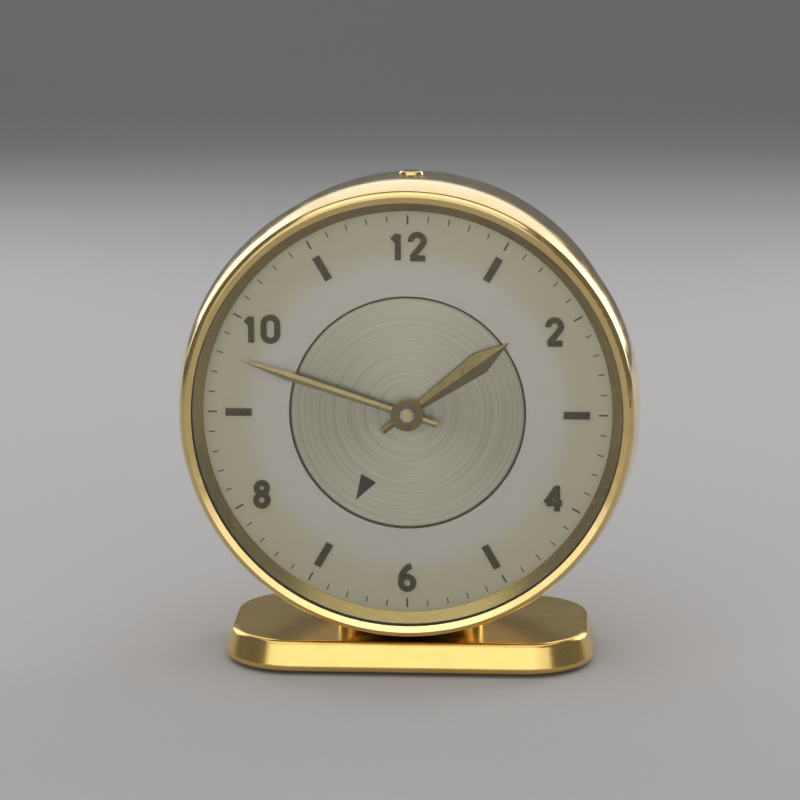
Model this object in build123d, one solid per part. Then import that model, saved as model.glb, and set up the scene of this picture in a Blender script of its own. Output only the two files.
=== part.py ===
from build123d import *
import math
import os

# A round brass alarm desk clock on a flat foot, in millimetres. Pieces are drawn in the dial frame:
# x right, y up, z towards the viewer, zero in the middle of the dial face. A place "behind" the dial
# is a negative z. The last step stands every piece on the table.

# Foot
BASE_LENGTH = 61.5
BASE_DEPTH = 34.0
BASE_CORNER = 12.0
BASE_THICKNESS = 5.0
BASE_EDGE_ROUND = 0.9
BASE_SIDE_SLOPE = 16.0
BASE_FRONT_Z = 3.6
FELT_THICKNESS = 0.6
FELT_MARGIN = 1.6
SADDLE_WIDTH = 24.0
SADDLE_LENGTH = 17.0
SADDLE_BEHIND_BEZEL = 2.0
SADDLE_CORNER = 3.0
SADDLE_SCREW_RADIUS = 1.2
SADDLE_SCREW_HEAD = 2.3
SADDLE_SCREW_SPACING = 10.0

# Case, bezel and glass
CASE_WALL = 1.4
CASE_FRONT_Z = 1.2
CASE_REAR_ROUND = 3.0
BEZEL_WALL = 1.85
BEZEL_SKIRT_Z = -6.4
BEZEL_WIDEST_Z = -5.0
BEZEL_SKIRT_DRAW = 0.5
BEZEL_SHOULDER = 1.0
BEZEL_SHOULDER_Z = 2.2
BEZEL_LIP = 1.05
BEZEL_CREST = 0.6
BEZEL_DOME_SWELL = 0.25
BEZEL_RIM_SWELL = 0.35
BEZEL_GAP = 0.2
GASKET_THICKNESS = 0.6
CRYSTAL_THICKNESS = 1.0
REHAUT_FLANGE = 0.4
REHAUT_SLOPE = 1.6
REHAUT_EDGE = 0.25

# Dial, markers and hands
DIAL_THICKNESS = 0.6
ALARM_DISC_RADIUS = 18.8
ALARM_DISC_THICKNESS = 0.5
ALARM_DISC_SINK = 0.4
ALARM_MARK_INSET = 4.2
ALARM_MARK_LENGTH = 4.2
ALARM_MARK_WIDTH = 2.8
ALARM_MARK_HEIGHT = 0.15
ALARM_TIME_ANGLE = 210.0
MARKER_INSET = 5.7
MARKER_HEIGHT = 0.35
NUMERAL_HEIGHT = 4.4
NUMERAL_STROKE = 0.95
NUMERAL_PITCH = 3.2
DIGIT_WIDTH = 0.6
BATON_LENGTH = 4.2
BATON_WIDTH = 1.2
HOUR_HAND_LENGTH = 20.0
HOUR_HAND_WIDTH = 3.6
HOUR_HAND_POINT = 5.6
MINUTE_HAND_LENGTH = 28.5
MINUTE_HAND_WIDTH = 1.4
MINUTE_HAND_POINT = 8.0
HAND_TAIL = 5.0
HAND_ROOT_WIDTH = 1.0
HAND_THICKNESS = 0.3
HAND_HUB = 2.6
HAND_SPACING = 0.5
HOUR_HAND_ANGLE = 54.0
MINUTE_HAND_ANGLE = 288.0

# Movement ring, plates and screws
MOTION_SPACE = 4.0
RING_WIDTH = 4.5
LEDGE_WIDTH = 1.6
LEDGE_THICKNESS = 1.6
PLATE_THICKNESS = 1.6
PLATE_MARGIN = 2.36
PLATE_PLAY = 0.4
PILLAR_RADIUS = 1.8
PILLAR_INSET = 4.4
PILLAR_ANGLES = (10, 120, 225, 300)
RING_SCREW_ANGLES = (60, 180, 265)
SCREW_RADIUS = 0.7
SCREW_HEAD_RADIUS = 1.3
SCREW_HEAD_HEIGHT = 0.8
SCREW_BITE = 2.4
SCREW_SLOT = 0.35
REAR_SPACE = 5.2
COVER_THICKNESS = 1.2
COVER_SINK = 0.4
COVER_LEDGE = 3.1
COVER_RIM = 0.4
COVER_LEDGE_THICKNESS = 1.4
COVER_SCREW_ANGLES = (90, 210, 330)

# Clearances
SLIP = 0.1
THREAD_CLEARANCE = 0.05
PIVOT_PLAY = 0.04
END_SHAKE = 0.1
SEAT_GAP = 0.02
SHAFT_CLEARANCE = 0.3

# Wheel work, tooth proportions in modules
WHEEL_ADDENDUM = 1.2
WHEEL_DEDENDUM = 1.0
WHEEL_TOOTH = 1.44
WHEEL_TOOTH_TIP = 0.5
PINION_DEDENDUM = 1.6
PINION_LEAF = 1.2
WHEEL_RIM = 0.9
WHEEL_ARM = 1.0
WHEEL_ARMS = 5
WHEEL_HUB = 1.8
WHEEL_THICKNESS = 0.7
LAYER_GAP = 0.8
PINION_OVERLAP = 0.3
ARBOR_RADIUS = 0.6
PIVOT_RADIUS = 0.35

# Teeth, leaves and module of each wheel and the pinion it drives
BARREL_TEETH = 72
INTERMEDIATE_LEAVES = 12
BARREL_MODULE = 0.35
INTERMEDIATE_TEETH = 72
CENTRE_LEAVES = 12
INTERMEDIATE_MODULE = 0.30
CENTRE_TEETH = 80
THIRD_LEAVES = 10
CENTRE_MODULE = 0.25
THIRD_TEETH = 75
FOURTH_LEAVES = 10
THIRD_MODULE = 0.22
FOURTH_TEETH = 80
ESCAPE_LEAVES = 8
FOURTH_MODULE = 0.20
MINUTE_TEETH = 36
CANNON_LEAVES = 12
MINUTE_MODULE = 0.25
HOUR_TEETH = 40
MINUTE_LEAVES = 10
HOUR_MODULE = 0.24
ALARM_TEETH = 64
ALARM_SET_LEAVES = 12
ALARM_MODULE = 0.30
RINGER_TEETH = 60
STRIKE_LEAVES = 10
RINGER_MODULE = 0.30
ESCAPE_TEETH = 15
ESCAPE_ARMS = 4
STRIKE_TEETH = 12
RATCHET_TEETH = 24
SAW_FRONT = 0.15
SAW_BACK = 0.55

# Barrels and winding
BARREL_HEIGHT = 9.2
BARREL_WALL = 0.8
BARREL_FLOOR = 1.0
BARREL_TOOTH_HEIGHT = 1.7
BARREL_CENTRE_GAP = 3.8
BARREL_ANGLE = 190
RINGER_CENTRE_GAP = 7.6
RINGER_ANGLE = -40
BARREL_ARBOR = 1.6
BARREL_CORE = 2.5
MAINSPRING_THICKNESS = 0.35
MAINSPRING_TURNS = 7
MAINSPRING_GAP = 0.25
RATCHET_RADIUS = 5.6
RATCHET_DEPTH = 0.6
RATCHET_THICKNESS = 0.9
RATCHET_STANDOFF = 0.4
CLICK_LENGTH = 5.0
CLICK_WIDTH = 2.0
CLICK_CLEARANCE = 0.2
CLICK_SPRING_THICKNESS = 0.3
CLICK_SPRING_LENGTH = 6.0
KEY_STANDOFF = 0.6
KEY_HUB = 2.6
KEY_HUB_LENGTH = 4.0
KEY_SPAN = 14.0
KEY_WING_HEIGHT = 5.4
KEY_WING_THICKNESS = 1.6
KEY_EYE = 1.3
KEY_EYE_SPACING = 8.8
KNOB_RADIUS = 4.0
KNOB_LENGTH = 4.6
KNOB_FLUTES = 18
KNOB_FLUTE = 0.45
KNOB_EDGE = 0.5
KNOB_END = 0.8
SET_ARBOR = 0.9

# Escapement and balance
TRAIN_ANGLE_THIRD = 60
TRAIN_ANGLE_FOURTH = 110
TRAIN_ANGLE_ESCAPE = 15
TRAIN_ANGLE_LEVER = -42
SET_ANGLE = 125
ALARM_SET_ANGLE = 5
STRIKE_ANGLE = 250
HAMMER_ANGLE = 190
ESCAPE_RADIUS = 4.0
ESCAPE_TOOTH_DEPTH = 0.9
LEVER_DISTANCE = 5.2
BALANCE_DISTANCE = 6.9
PALLET_CLEARANCE = 0.35
PALLET_SPREAD = 36
PALLET_WIDTH = 0.7
LEVER_WIDTH = 1.1
FORK_WIDTH = 2.0
FORK_NOTCH = 0.7
IMPULSE_RADIUS = 1.2
IMPULSE_PIN = 0.25
ROLLER_RADIUS = 1.7
BALANCE_RADIUS = 6.0
BALANCE_RIM = 0.9
BALANCE_THICKNESS = 1.3
BALANCE_ARM = 1.2
HAIRSPRING_RADIUS = 4.4
HAIRSPRING_TURNS = 5
HAIRSPRING_THICKNESS = 0.12
HAIRSPRING_HEIGHT = 0.7
COCK_THICKNESS = 1.4
COCK_WIDTH = 4.4
COCK_FOOT_DISTANCE = 9.0
COCK_FOOT_ANGLE = 212
INDEX_LENGTH = 6.0
INDEX_WIDTH = 1.2
INDEX_ANGLE = 140
INDEX_TRAVEL = 20
INDEX_THICKNESS = 0.5
INDEX_RING = 2.3
INDEX_PIN = 0.4

# Alarm strike and stop
STRIKE_RADIUS = 3.0
STRIKE_TOOTH_DEPTH = 0.8
HAMMER_DISTANCE = 5.0
HAMMER_ARM = 9.0
HAMMER_ARM_ANGLE = 198
HAMMER_ARM_WIDTH = 1.2
HAMMER_HEAD = 1.6
HAMMER_HEAD_LENGTH = 2.2
HAMMER_CLEARANCE = 0.4
HAMMER_ANCHOR_LENGTH = 4.0
HAMMER_ANCHOR_CLEARANCE = 0.25
GONG_RADIUS = 1.2
BUTTON_RADIUS = 2.0
BUTTON_TRAVEL = 1.0
BUTTON_PRESSED = 1.0
BUTTON_FLANGE = 0.7
BUTTON_FLANGE_THICKNESS = 0.5
BUTTON_DOME = 0.5
BUTTON_BEHIND_BEZEL = 5.6
STOP_SPRING_THICKNESS = 0.25
STOP_SPRING_WIDTH = 3.0
STOP_SPRING_SPREAD = 12

# The stack of tubes on the dial axis, each sliding over the one inside it
CENTRE_ARBOR = 0.75
CANNON_RADIUS = 1.15
HOUR_TUBE_RADIUS = 1.75
ALARM_TUBE_RADIUS = 2.8

# Depths along the dial axis
DIAL_BACK_Z = -DIAL_THICKNESS
PLATE_FRONT_Z = DIAL_BACK_Z - MOTION_SPACE
GAP_FRONT_Z = PLATE_FRONT_Z - PLATE_THICKNESS
LAYER = WHEEL_THICKNESS + LAYER_GAP
CENTRE_Z = GAP_FRONT_Z - LAYER_GAP
THIRD_Z = CENTRE_Z - LAYER
FOURTH_Z = THIRD_Z - LAYER
ESCAPE_Z = FOURTH_Z - LAYER - LAYER_GAP
BALANCE_Z = ESCAPE_Z - LAYER - LAYER_GAP
BARREL_Z = CENTRE_Z - LAYER
BARREL_TOOTH_Z = BARREL_Z - BARREL_HEIGHT + BARREL_TOOTH_HEIGHT
INTERMEDIATE_Z = BARREL_Z - BARREL_HEIGHT - LAYER_GAP
GAP_REAR_Z = INTERMEDIATE_Z - LAYER - PINION_OVERLAP
HAIRSPRING_Z = GAP_REAR_Z + LAYER_GAP + HAIRSPRING_HEIGHT
PLATE_REAR_Z = GAP_REAR_Z - PLATE_THICKNESS
COVER_Z = PLATE_REAR_Z - REAR_SPACE
COVER_REAR_Z = COVER_Z - COVER_THICKNESS
CASE_REAR_Z = COVER_REAR_Z - COVER_SINK
RATCHET_Z = PLATE_REAR_Z - RATCHET_STANDOFF
COCK_REAR_Z = PLATE_REAR_Z - COCK_THICKNESS
KEY_Z = COVER_REAR_Z - KEY_STANDOFF
KEY_REAR_Z = KEY_Z - KEY_HUB_LENGTH - KEY_WING_HEIGHT
KNOB_BORE_Z = KEY_Z - KNOB_LENGTH + KNOB_END
REHAUT_TOP_Z = CASE_FRONT_Z + REHAUT_FLANGE
CRYSTAL_Z = REHAUT_TOP_Z + GASKET_THICKNESS
LIP_Z = CRYSTAL_Z + CRYSTAL_THICKNESS
CREST_Z = LIP_Z + BEZEL_CREST
MOTION_Z = PLATE_FRONT_Z + SHAFT_CLEARANCE
HOUR_HAND_Z = HAND_SPACING
MINUTE_HAND_Z = HOUR_HAND_Z + HAND_THICKNESS + HAND_SPACING


# Places of the arbors in the dial frame
def beyond(place, distance, angle):
    turn = math.radians(angle)
    return (place[0] + distance * math.cos(turn), place[1] + distance * math.sin(turn))


def direction(start, end):
    return math.atan2(end[1] - start[1], end[0] - start[0])


def mesh_distance(teeth, leaves, module):
    return (teeth + leaves) * module / 2


def wheel_tip(teeth, module):
    return (teeth / 2 + WHEEL_ADDENDUM) * module


def meeting(first, first_distance, second, second_distance):
    """The place at two given distances from two others, clockwise of the line from first to second."""
    span = math.dist(first, second)
    along = (first_distance**2 - second_distance**2 + span**2) / (2 * span)
    swing = math.degrees(math.acos(along / first_distance))
    return beyond(first, first_distance, math.degrees(direction(first, second)) - swing)


CENTRE = (0.0, 0.0)
BARREL_TIP = wheel_tip(BARREL_TEETH, BARREL_MODULE)
BARREL = beyond(CENTRE, BARREL_TIP + BARREL_CENTRE_GAP, BARREL_ANGLE)
INTERMEDIATE = meeting(
    BARREL,
    mesh_distance(BARREL_TEETH, INTERMEDIATE_LEAVES, BARREL_MODULE),
    CENTRE,
    mesh_distance(INTERMEDIATE_TEETH, CENTRE_LEAVES, INTERMEDIATE_MODULE),
)
THIRD = beyond(CENTRE, mesh_distance(CENTRE_TEETH, THIRD_LEAVES, CENTRE_MODULE), TRAIN_ANGLE_THIRD)
FOURTH = beyond(THIRD, mesh_distance(THIRD_TEETH, FOURTH_LEAVES, THIRD_MODULE), TRAIN_ANGLE_FOURTH)
ESCAPE = beyond(FOURTH, mesh_distance(FOURTH_TEETH, ESCAPE_LEAVES, FOURTH_MODULE), TRAIN_ANGLE_ESCAPE)
LEVER = beyond(ESCAPE, LEVER_DISTANCE, TRAIN_ANGLE_LEVER)
BALANCE = beyond(LEVER, BALANCE_DISTANCE, TRAIN_ANGLE_LEVER)
COCK_FOOT = beyond(BALANCE, COCK_FOOT_DISTANCE, COCK_FOOT_ANGLE)
MINUTE = beyond(CENTRE, mesh_distance(MINUTE_TEETH, CANNON_LEAVES, MINUTE_MODULE), SET_ANGLE)
TIME_SET = beyond(MINUTE, mesh_distance(MINUTE_TEETH, CANNON_LEAVES, MINUTE_MODULE), SET_ANGLE)
ALARM_SET = beyond(CENTRE, mesh_distance(ALARM_TEETH, ALARM_SET_LEAVES, ALARM_MODULE), ALARM_SET_ANGLE)
RINGER_TIP = wheel_tip(RINGER_TEETH, RINGER_MODULE)
RINGER = beyond(CENTRE, RINGER_TIP + RINGER_CENTRE_GAP, RINGER_ANGLE)
STRIKE = beyond(RINGER, mesh_distance(RINGER_TEETH, STRIKE_LEAVES, RINGER_MODULE), STRIKE_ANGLE)
HAMMER = beyond(STRIKE, HAMMER_DISTANCE, HAMMER_ANGLE)
HAMMER_HEAD_PLACE = beyond(HAMMER, HAMMER_ARM, HAMMER_ARM_ANGLE)
GONG = beyond(HAMMER_HEAD_PLACE, HAMMER_HEAD + GONG_RADIUS + HAMMER_CLEARANCE, HAMMER_ARM_ANGLE + 90)

# Radii from the outermost wheel out to the bezel
OUTER_REACH = max(
    math.hypot(*BARREL) + BARREL_TIP,
    math.hypot(*RINGER) + RINGER_TIP,
    math.hypot(*FOURTH) + wheel_tip(FOURTH_TEETH, FOURTH_MODULE),
    math.hypot(*BALANCE) + BALANCE_RADIUS,
    math.hypot(*HAMMER_HEAD_PLACE) + HAMMER_HEAD,
)
PLATE_RADIUS = OUTER_REACH + PLATE_MARGIN
LEDGE_INNER = PLATE_RADIUS + PLATE_PLAY
CASE_INNER = LEDGE_INNER + LEDGE_WIDTH
CASE_RADIUS = CASE_INNER + CASE_WALL
BEZEL_BORE = CASE_RADIUS + SLIP / 2
BEZEL_RADIUS = BEZEL_BORE + BEZEL_WALL
BEZEL_MOUTH = BEZEL_BORE - BEZEL_LIP
REHAUT_INNER = BEZEL_MOUTH - SLIP - REHAUT_SLOPE
RING_OUTER = CASE_INNER - SLIP
RING_INNER = RING_OUTER - RING_WIDTH
RING_SCREW_CIRCLE = (PLATE_RADIUS + RING_INNER) / 2
PILLAR_CIRCLE = PLATE_RADIUS - PILLAR_INSET
COVER_SEAT = CASE_RADIUS - CASE_REAR_ROUND - COVER_RIM
COVER_RADIUS = COVER_SEAT - SLIP
COVER_OPENING = COVER_SEAT - COVER_LEDGE
COVER_SCREW_CIRCLE = (COVER_RADIUS + COVER_OPENING) / 2
MARKER_RADIUS = REHAUT_INNER - MARKER_INSET
DIAL_HOLE = ALARM_DISC_RADIUS + SHAFT_CLEARANCE
ALARM_MARK_RADIUS = ALARM_DISC_RADIUS - ALARM_MARK_INSET

# Standing place: the clock's depth is centred over the origin
FELT_INSET = BASE_EDGE_ROUND + FELT_MARGIN
FOOT_TOP = FELT_THICKNESS + BASE_THICKNESS
DIAL_HEIGHT = FOOT_TOP + BEZEL_GAP + BEZEL_RADIUS
DIAL_Y = (CREST_Z + KEY_REAR_Z) / 2
BASE_Y = DIAL_Y - BASE_FRONT_Z + BASE_DEPTH / 2

# Pillars and screws of the frame
PILLARS = [beyond(CENTRE, PILLAR_CIRCLE, angle) for angle in PILLAR_ANGLES]
RING_SCREWS = [beyond(CENTRE, RING_SCREW_CIRCLE, angle) for angle in RING_SCREW_ANGLES]
COVER_SCREWS = [beyond(CENTRE, COVER_SCREW_CIRCLE, angle) for angle in COVER_SCREW_ANGLES]


# Small shapes
UPRIGHT = (Align.CENTER, Align.CENTER, Align.MIN)


def disc(place, radius, high, low):
    """A round bar along the dial axis between two depths."""
    return Pos(place[0], place[1], low) * Cylinder(radius, high - low, align=UPRIGHT)


def tube(place, radius, bore, high, low):
    return disc(place, radius, high, low) - disc(place, bore, high, low)


def shaft(place, *steps):
    """Round bars end to end; each step is a radius, a near depth and a far depth."""
    return Part() + [disc(place, *step) for step in steps]


def slab(place, face, high, low):
    return Pos(place[0], place[1], low) * extrude(face, high - low)


def turned(start, *steps):
    """A ring turned about the dial axis from (radius, z) points; a pair of points is an arc."""
    edges = []
    here = start
    for step in steps:
        if isinstance(step[0], tuple):
            edges.append(ThreePointArc(here, *step))
            here = step[1]
        else:
            edges.append(Line(here, step))
            here = step
    edges.append(Line(here, start))
    return revolve(Plane.XZ * make_face(edges), Axis.Z)


def swelled(start, end, swell):
    """Middle and end of an arc whose middle stands out from its chord by the swell."""
    across = (end[0] - start[0], end[1] - start[1])
    share = swell / math.hypot(*across)
    middle = ((start[0] + end[0]) / 2 + across[1] * share, (start[1] + end[1]) / 2 - across[0] * share)
    return (middle, end)


def polar(radius, angle):
    return (radius * math.cos(angle), radius * math.sin(angle))


def outline(points):
    return make_face(Polyline(*points, close=True))


def bar(length, width, angle):
    """A flat arm with round ends, from the origin outwards."""
    return Rot(0, 0, angle) * Pos(length / 2, 0) * SlotCenterToCenter(length, width)


# Wheels and pinions
def mesh_phase(turn, teeth, leaves):
    """Angle of a leaf that enters a gap of a wheel whose first tooth lies at angle zero."""
    return turn + math.pi + turn * teeth / leaves + math.pi / leaves


def wheel_face(teeth, module):
    """Toothed outline: each flank is one arc through root, pitch circle and tip."""
    pitch = teeth * module / 2
    root = pitch - WHEEL_DEDENDUM * module
    tip = wheel_tip(teeth, module)
    half = WHEEL_TOOTH * module / 2 / pitch
    tip_half = WHEEL_TOOTH_TIP * module / 2 / tip
    step = math.tau / teeth
    edges = []
    for tooth in range(teeth):
        middle = tooth * step
        rise = [polar(root, middle - half), polar(pitch, middle - half), polar(tip, middle - tip_half)]
        fall = [polar(tip, middle + tip_half), polar(pitch, middle + half), polar(root, middle + half)]
        edges.append(ThreePointArc(*rise))
        edges.append(Line(rise[2], fall[0]))
        edges.append(ThreePointArc(*fall))
        edges.append(Line(fall[2], polar(root, middle + step - half)))
    return make_face(edges)


def pinion_face(leaves, module, phase):
    """Leaves with radial flanks and round tips."""
    pitch = leaves * module / 2
    root = pitch - PINION_DEDENDUM * module
    half = PINION_LEAF * module / 2 / pitch
    tip = pitch + PINION_LEAF * module / 2
    step = math.tau / leaves
    edges = []
    for leaf in range(leaves):
        middle = phase + leaf * step
        edges.append(Line(polar(root, middle - half), polar(pitch, middle - half)))
        cap = [polar(pitch, middle - half), polar(tip, middle), polar(pitch, middle + half)]
        edges.append(ThreePointArc(*cap))
        edges.append(Line(polar(pitch, middle + half), polar(root, middle + half)))
        edges.append(Line(polar(root, middle + half), polar(root, middle + step - half)))
    return make_face(edges)


def wheel(place, teeth, module, high):
    """A crossed-out wheel: a toothed rim, arms and a hub."""
    rim = teeth * module / 2 - WHEEL_DEDENDUM * module - WHEEL_RIM
    windows = Circle(rim) - Circle(WHEEL_HUB)
    for arm in range(WHEEL_ARMS):
        windows -= Rot(0, 0, arm * 360 / WHEEL_ARMS) * Pos(rim / 2, 0) * Rectangle(rim + WHEEL_RIM, WHEEL_ARM)
    return slab(place, wheel_face(teeth, module) - windows, high, high - WHEEL_THICKNESS)


def pinion(place, leaves, module, phase, high, thickness):
    """Leaves that stand a little past both faces of the wheel they mesh with."""
    low = high - thickness - PINION_OVERLAP
    return slab(place, pinion_face(leaves, module, phase), high + PINION_OVERLAP, low)


def train_arbor(place):
    """An arbor between the plates with a pivot in each of them."""
    front = GAP_FRONT_Z - END_SHAKE
    rear = GAP_REAR_Z + END_SHAKE
    return shaft(
        place,
        (PIVOT_RADIUS, PLATE_FRONT_Z - END_SHAKE, front),
        (ARBOR_RADIUS, front, rear),
        (PIVOT_RADIUS, rear, PLATE_REAR_Z + END_SHAKE),
    )


def spiral_face(inner, outer, turns, thickness):
    """A flat coil of half circles whose centres step from side to side."""
    halves = 2 * turns
    grow = (outer - inner) / halves
    walls = []
    for side in (-thickness / 2, thickness / 2):
        wall = []
        for half in range(halves):
            sign = 1 if half % 2 == 0 else -1
            middle = 0 if half % 2 == 0 else grow
            radius = inner + half * grow + side
            ends = [(middle + sign * radius, 0), (middle, sign * radius), (middle - sign * radius, 0)]
            wall.append(ThreePointArc(*ends))
        walls.append(wall)
    caps = [Line(walls[0][0] @ 0, walls[1][0] @ 0), Line(walls[0][-1] @ 1, walls[1][-1] @ 1)]
    return make_face(walls[0] + walls[1] + caps)


def screw(place, seat, aim, length):
    """A slotted cheese-head screw; aim is +1 for a shank that points to the viewer."""
    head = seat - aim * SCREW_HEAD_HEIGHT
    body = disc(place, SCREW_HEAD_RADIUS, max(seat, head), min(seat, head))
    body += disc(place, SCREW_RADIUS, max(seat, seat + aim * length), min(seat, seat + aim * length))
    slot = Box(2 * SCREW_HEAD_RADIUS, SCREW_SLOT, SCREW_SLOT)
    return body - Pos(place[0], place[1], head + aim * SCREW_SLOT / 2) * slot


def screw_hole(place, high, low):
    return disc(place, SCREW_RADIUS + THREAD_CLEARANCE, high, low)


# Foot, drawn standing on the table
def foot_outline(inset):
    return RectangleRounded(BASE_LENGTH - 2 * inset, BASE_DEPTH - 2 * inset, BASE_CORNER - inset)


SADDLE_FRONT_Z = BEZEL_SKIRT_Z - SADDLE_BEHIND_BEZEL
SADDLE_Y = DIAL_Y - SADDLE_FRONT_Z + SADDLE_LENGTH / 2
SADDLE_SCREW_YS = [SADDLE_Y - SADDLE_SCREW_SPACING / 2, SADDLE_Y + SADDLE_SCREW_SPACING / 2]
SADDLE_SCREW_TOP = DIAL_HEIGHT - CASE_INNER - SLIP


def standing(solid):
    return Pos(0, DIAL_Y, DIAL_HEIGHT) * Rot(90, 0, 0) * solid


def upright_hole(y):
    """Clearance for a saddle screw, with the countersink that hides its head."""
    sink = SADDLE_SCREW_HEAD - SADDLE_SCREW_RADIUS
    bore = SADDLE_SCREW_RADIUS + THREAD_CLEARANCE
    stem = Cylinder(bore, DIAL_HEIGHT / 2, align=UPRIGHT)
    cone = Cone(SADDLE_SCREW_HEAD + THREAD_CLEARANCE, bore, sink, align=UPRIGHT)
    return Pos(0, y, FELT_THICKNESS) * (stem + cone)


SADDLE_HOLES = [upright_hole(y) for y in SADDLE_SCREW_YS]


def base_plate():
    plate = Pos(0, BASE_Y, FELT_THICKNESS) * extrude(
        foot_outline(0), BASE_THICKNESS, taper=BASE_SIDE_SLOPE
    )
    rims = plate.faces().sort_by(Axis.Z)
    plate = fillet(rims[0].edges() + rims[-1].edges(), BASE_EDGE_ROUND)
    return plate - SADDLE_HOLES


def base_felt():
    return Pos(0, BASE_Y, 0) * extrude(foot_outline(FELT_INSET), FELT_THICKNESS)


def base_saddle():
    """A block hollowed to the case wall."""
    block = Pos(0, SADDLE_Y, FOOT_TOP) * extrude(
        RectangleRounded(SADDLE_WIDTH, SADDLE_LENGTH, SADDLE_CORNER), DIAL_HEIGHT / 2
    )
    drum = standing(disc(CENTRE, CASE_RADIUS + SEAT_GAP, CASE_FRONT_Z, CASE_REAR_Z))
    return (block - drum - SADDLE_HOLES).solids().sort_by(Axis.Z)[0]


def saddle_screws():
    sink = SADDLE_SCREW_HEAD - SADDLE_SCREW_RADIUS
    stem = Cylinder(SADDLE_SCREW_RADIUS, SADDLE_SCREW_TOP - FELT_THICKNESS, align=UPRIGHT)
    head = Cone(SADDLE_SCREW_HEAD, SADDLE_SCREW_RADIUS, sink, align=UPRIGHT)
    slot = Box(2 * SADDLE_SCREW_HEAD, SCREW_SLOT, SCREW_SLOT, align=UPRIGHT)
    pattern = stem + head - slot
    return [Pos(0, y, FELT_THICKNESS) * pattern for y in SADDLE_SCREW_YS]


# Case, bezel and glass
BUTTON_Z = BEZEL_SKIRT_Z - BUTTON_BEHIND_BEZEL


def radial_bar(radius, high, low):
    """A bar that points straight up through the top of the case."""
    bar_solid = Cylinder(radius, high - low, align=UPRIGHT)
    return Pos(0, 0, BUTTON_Z) * Rot(-90, 0, 0) * Pos(0, 0, low) * bar_solid


def case_body():
    """The drum: a tube with a ledge for the movement ring and a rear lip for the cover."""
    round_mid = CASE_REAR_ROUND * (1 - math.sqrt(0.5))
    ledge_rear = PLATE_FRONT_Z - LEDGE_THICKNESS
    body = turned(
        (CASE_INNER, CASE_FRONT_Z),
        (CASE_RADIUS, CASE_FRONT_Z),
        (CASE_RADIUS, CASE_REAR_Z + CASE_REAR_ROUND),
        ((CASE_RADIUS - round_mid, CASE_REAR_Z + round_mid), (CASE_RADIUS - CASE_REAR_ROUND, CASE_REAR_Z)),
        (COVER_SEAT, CASE_REAR_Z),
        (COVER_SEAT, COVER_Z),
        (COVER_OPENING, COVER_Z),
        (COVER_OPENING, COVER_Z + COVER_LEDGE_THICKNESS),
        (CASE_INNER, COVER_Z + COVER_LEDGE_THICKNESS),
        (CASE_INNER, ledge_rear),
        (LEDGE_INNER, ledge_rear),
        (LEDGE_INNER, PLATE_FRONT_Z),
        (CASE_INNER, PLATE_FRONT_Z),
    )
    body -= [screw_hole(place, COVER_Z + COVER_LEDGE_THICKNESS, COVER_Z) for place in COVER_SCREWS]
    body -= radial_bar(BUTTON_RADIUS + PIVOT_PLAY, CASE_RADIUS + CASE_WALL, CASE_INNER - CASE_WALL)
    return standing(body) - SADDLE_HOLES


def bezel():
    """A domed brass ring that slips over the front of the drum."""
    widest = (BEZEL_RADIUS, BEZEL_WIDEST_Z)
    shoulder = (BEZEL_RADIUS - BEZEL_SHOULDER, BEZEL_SHOULDER_Z)
    crest = (BEZEL_BORE - SLIP, CREST_Z)
    return turned(
        (BEZEL_BORE, BEZEL_SKIRT_Z),
        (BEZEL_RADIUS - BEZEL_SKIRT_DRAW, BEZEL_SKIRT_Z),
        widest,
        swelled(widest, shoulder, BEZEL_DOME_SWELL),
        swelled(shoulder, crest, BEZEL_RIM_SWELL),
        (BEZEL_MOUTH, LIP_Z + BEZEL_CREST / 2),
        (BEZEL_MOUTH, LIP_Z),
        (BEZEL_BORE, LIP_Z),
    )


def crystal():
    return disc(CENTRE, BEZEL_BORE - SLIP, LIP_Z, CRYSTAL_Z)


def crystal_gasket():
    return tube(CENTRE, BEZEL_BORE - SLIP, BEZEL_MOUTH - SLIP, CRYSTAL_Z, REHAUT_TOP_Z)


def rehaut_ring():
    """The sloped ring between dial and glass; its flange sits on the front edge of the drum."""
    return turned(
        (REHAUT_INNER, 0),
        (RING_OUTER, 0),
        (RING_OUTER, CASE_FRONT_Z),
        (BEZEL_BORE - SLIP, CASE_FRONT_Z),
        (BEZEL_BORE - SLIP, REHAUT_TOP_Z),
        (BEZEL_MOUTH - SLIP, REHAUT_TOP_Z),
        (REHAUT_INNER, REHAUT_EDGE),
    )


# Dial, markers and hands
def dial_plate():
    return tube(CENTRE, RING_OUTER, DIAL_HOLE, 0, DIAL_BACK_Z)


def digit_lines(digit):
    """Centre lines of a digit one unit high and DIGIT_WIDTH wide; the pen width is added afterwards."""
    if digit == "0":
        sides = [Line((0.05, 0.32), (0.05, 0.68)), Line((0.55, 0.32), (0.55, 0.68))]
        caps = [ThreePointArc((0.05, 0.68), (0.3, 0.93), (0.55, 0.68))]
        return sides + caps + [ThreePointArc((0.05, 0.32), (0.3, 0.07), (0.55, 0.32))]
    if digit == "1":
        return [Line((0.32, 0.0), (0.32, 0.95)), Line((0.32, 0.9), (0.12, 0.72))]
    if digit == "2":
        bowl = ThreePointArc((0.06, 0.68), (0.32, 0.93), (0.5, 0.6))
        return [bowl, Line((0.5, 0.6), (0.1, 0.1)), Line((0.04, 0.07), (0.58, 0.07))]
    if digit == "4":
        stem = Line((0.44, 0.0), (0.44, 0.95))
        return [stem, Line((0.44, 0.9), (0.04, 0.3)), Line((0.04, 0.3), (0.62, 0.3))]
    if digit == "6":
        bowl = CenterArc((0.3, 0.3), 0.23, 0, 360)
        return [bowl, ThreePointArc((0.07, 0.34), (0.16, 0.72), (0.45, 0.95))]
    return [CenterArc((0.3, 0.28), 0.21, 0, 360), CenterArc((0.3, 0.74), 0.19, 0, 360)]


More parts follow.
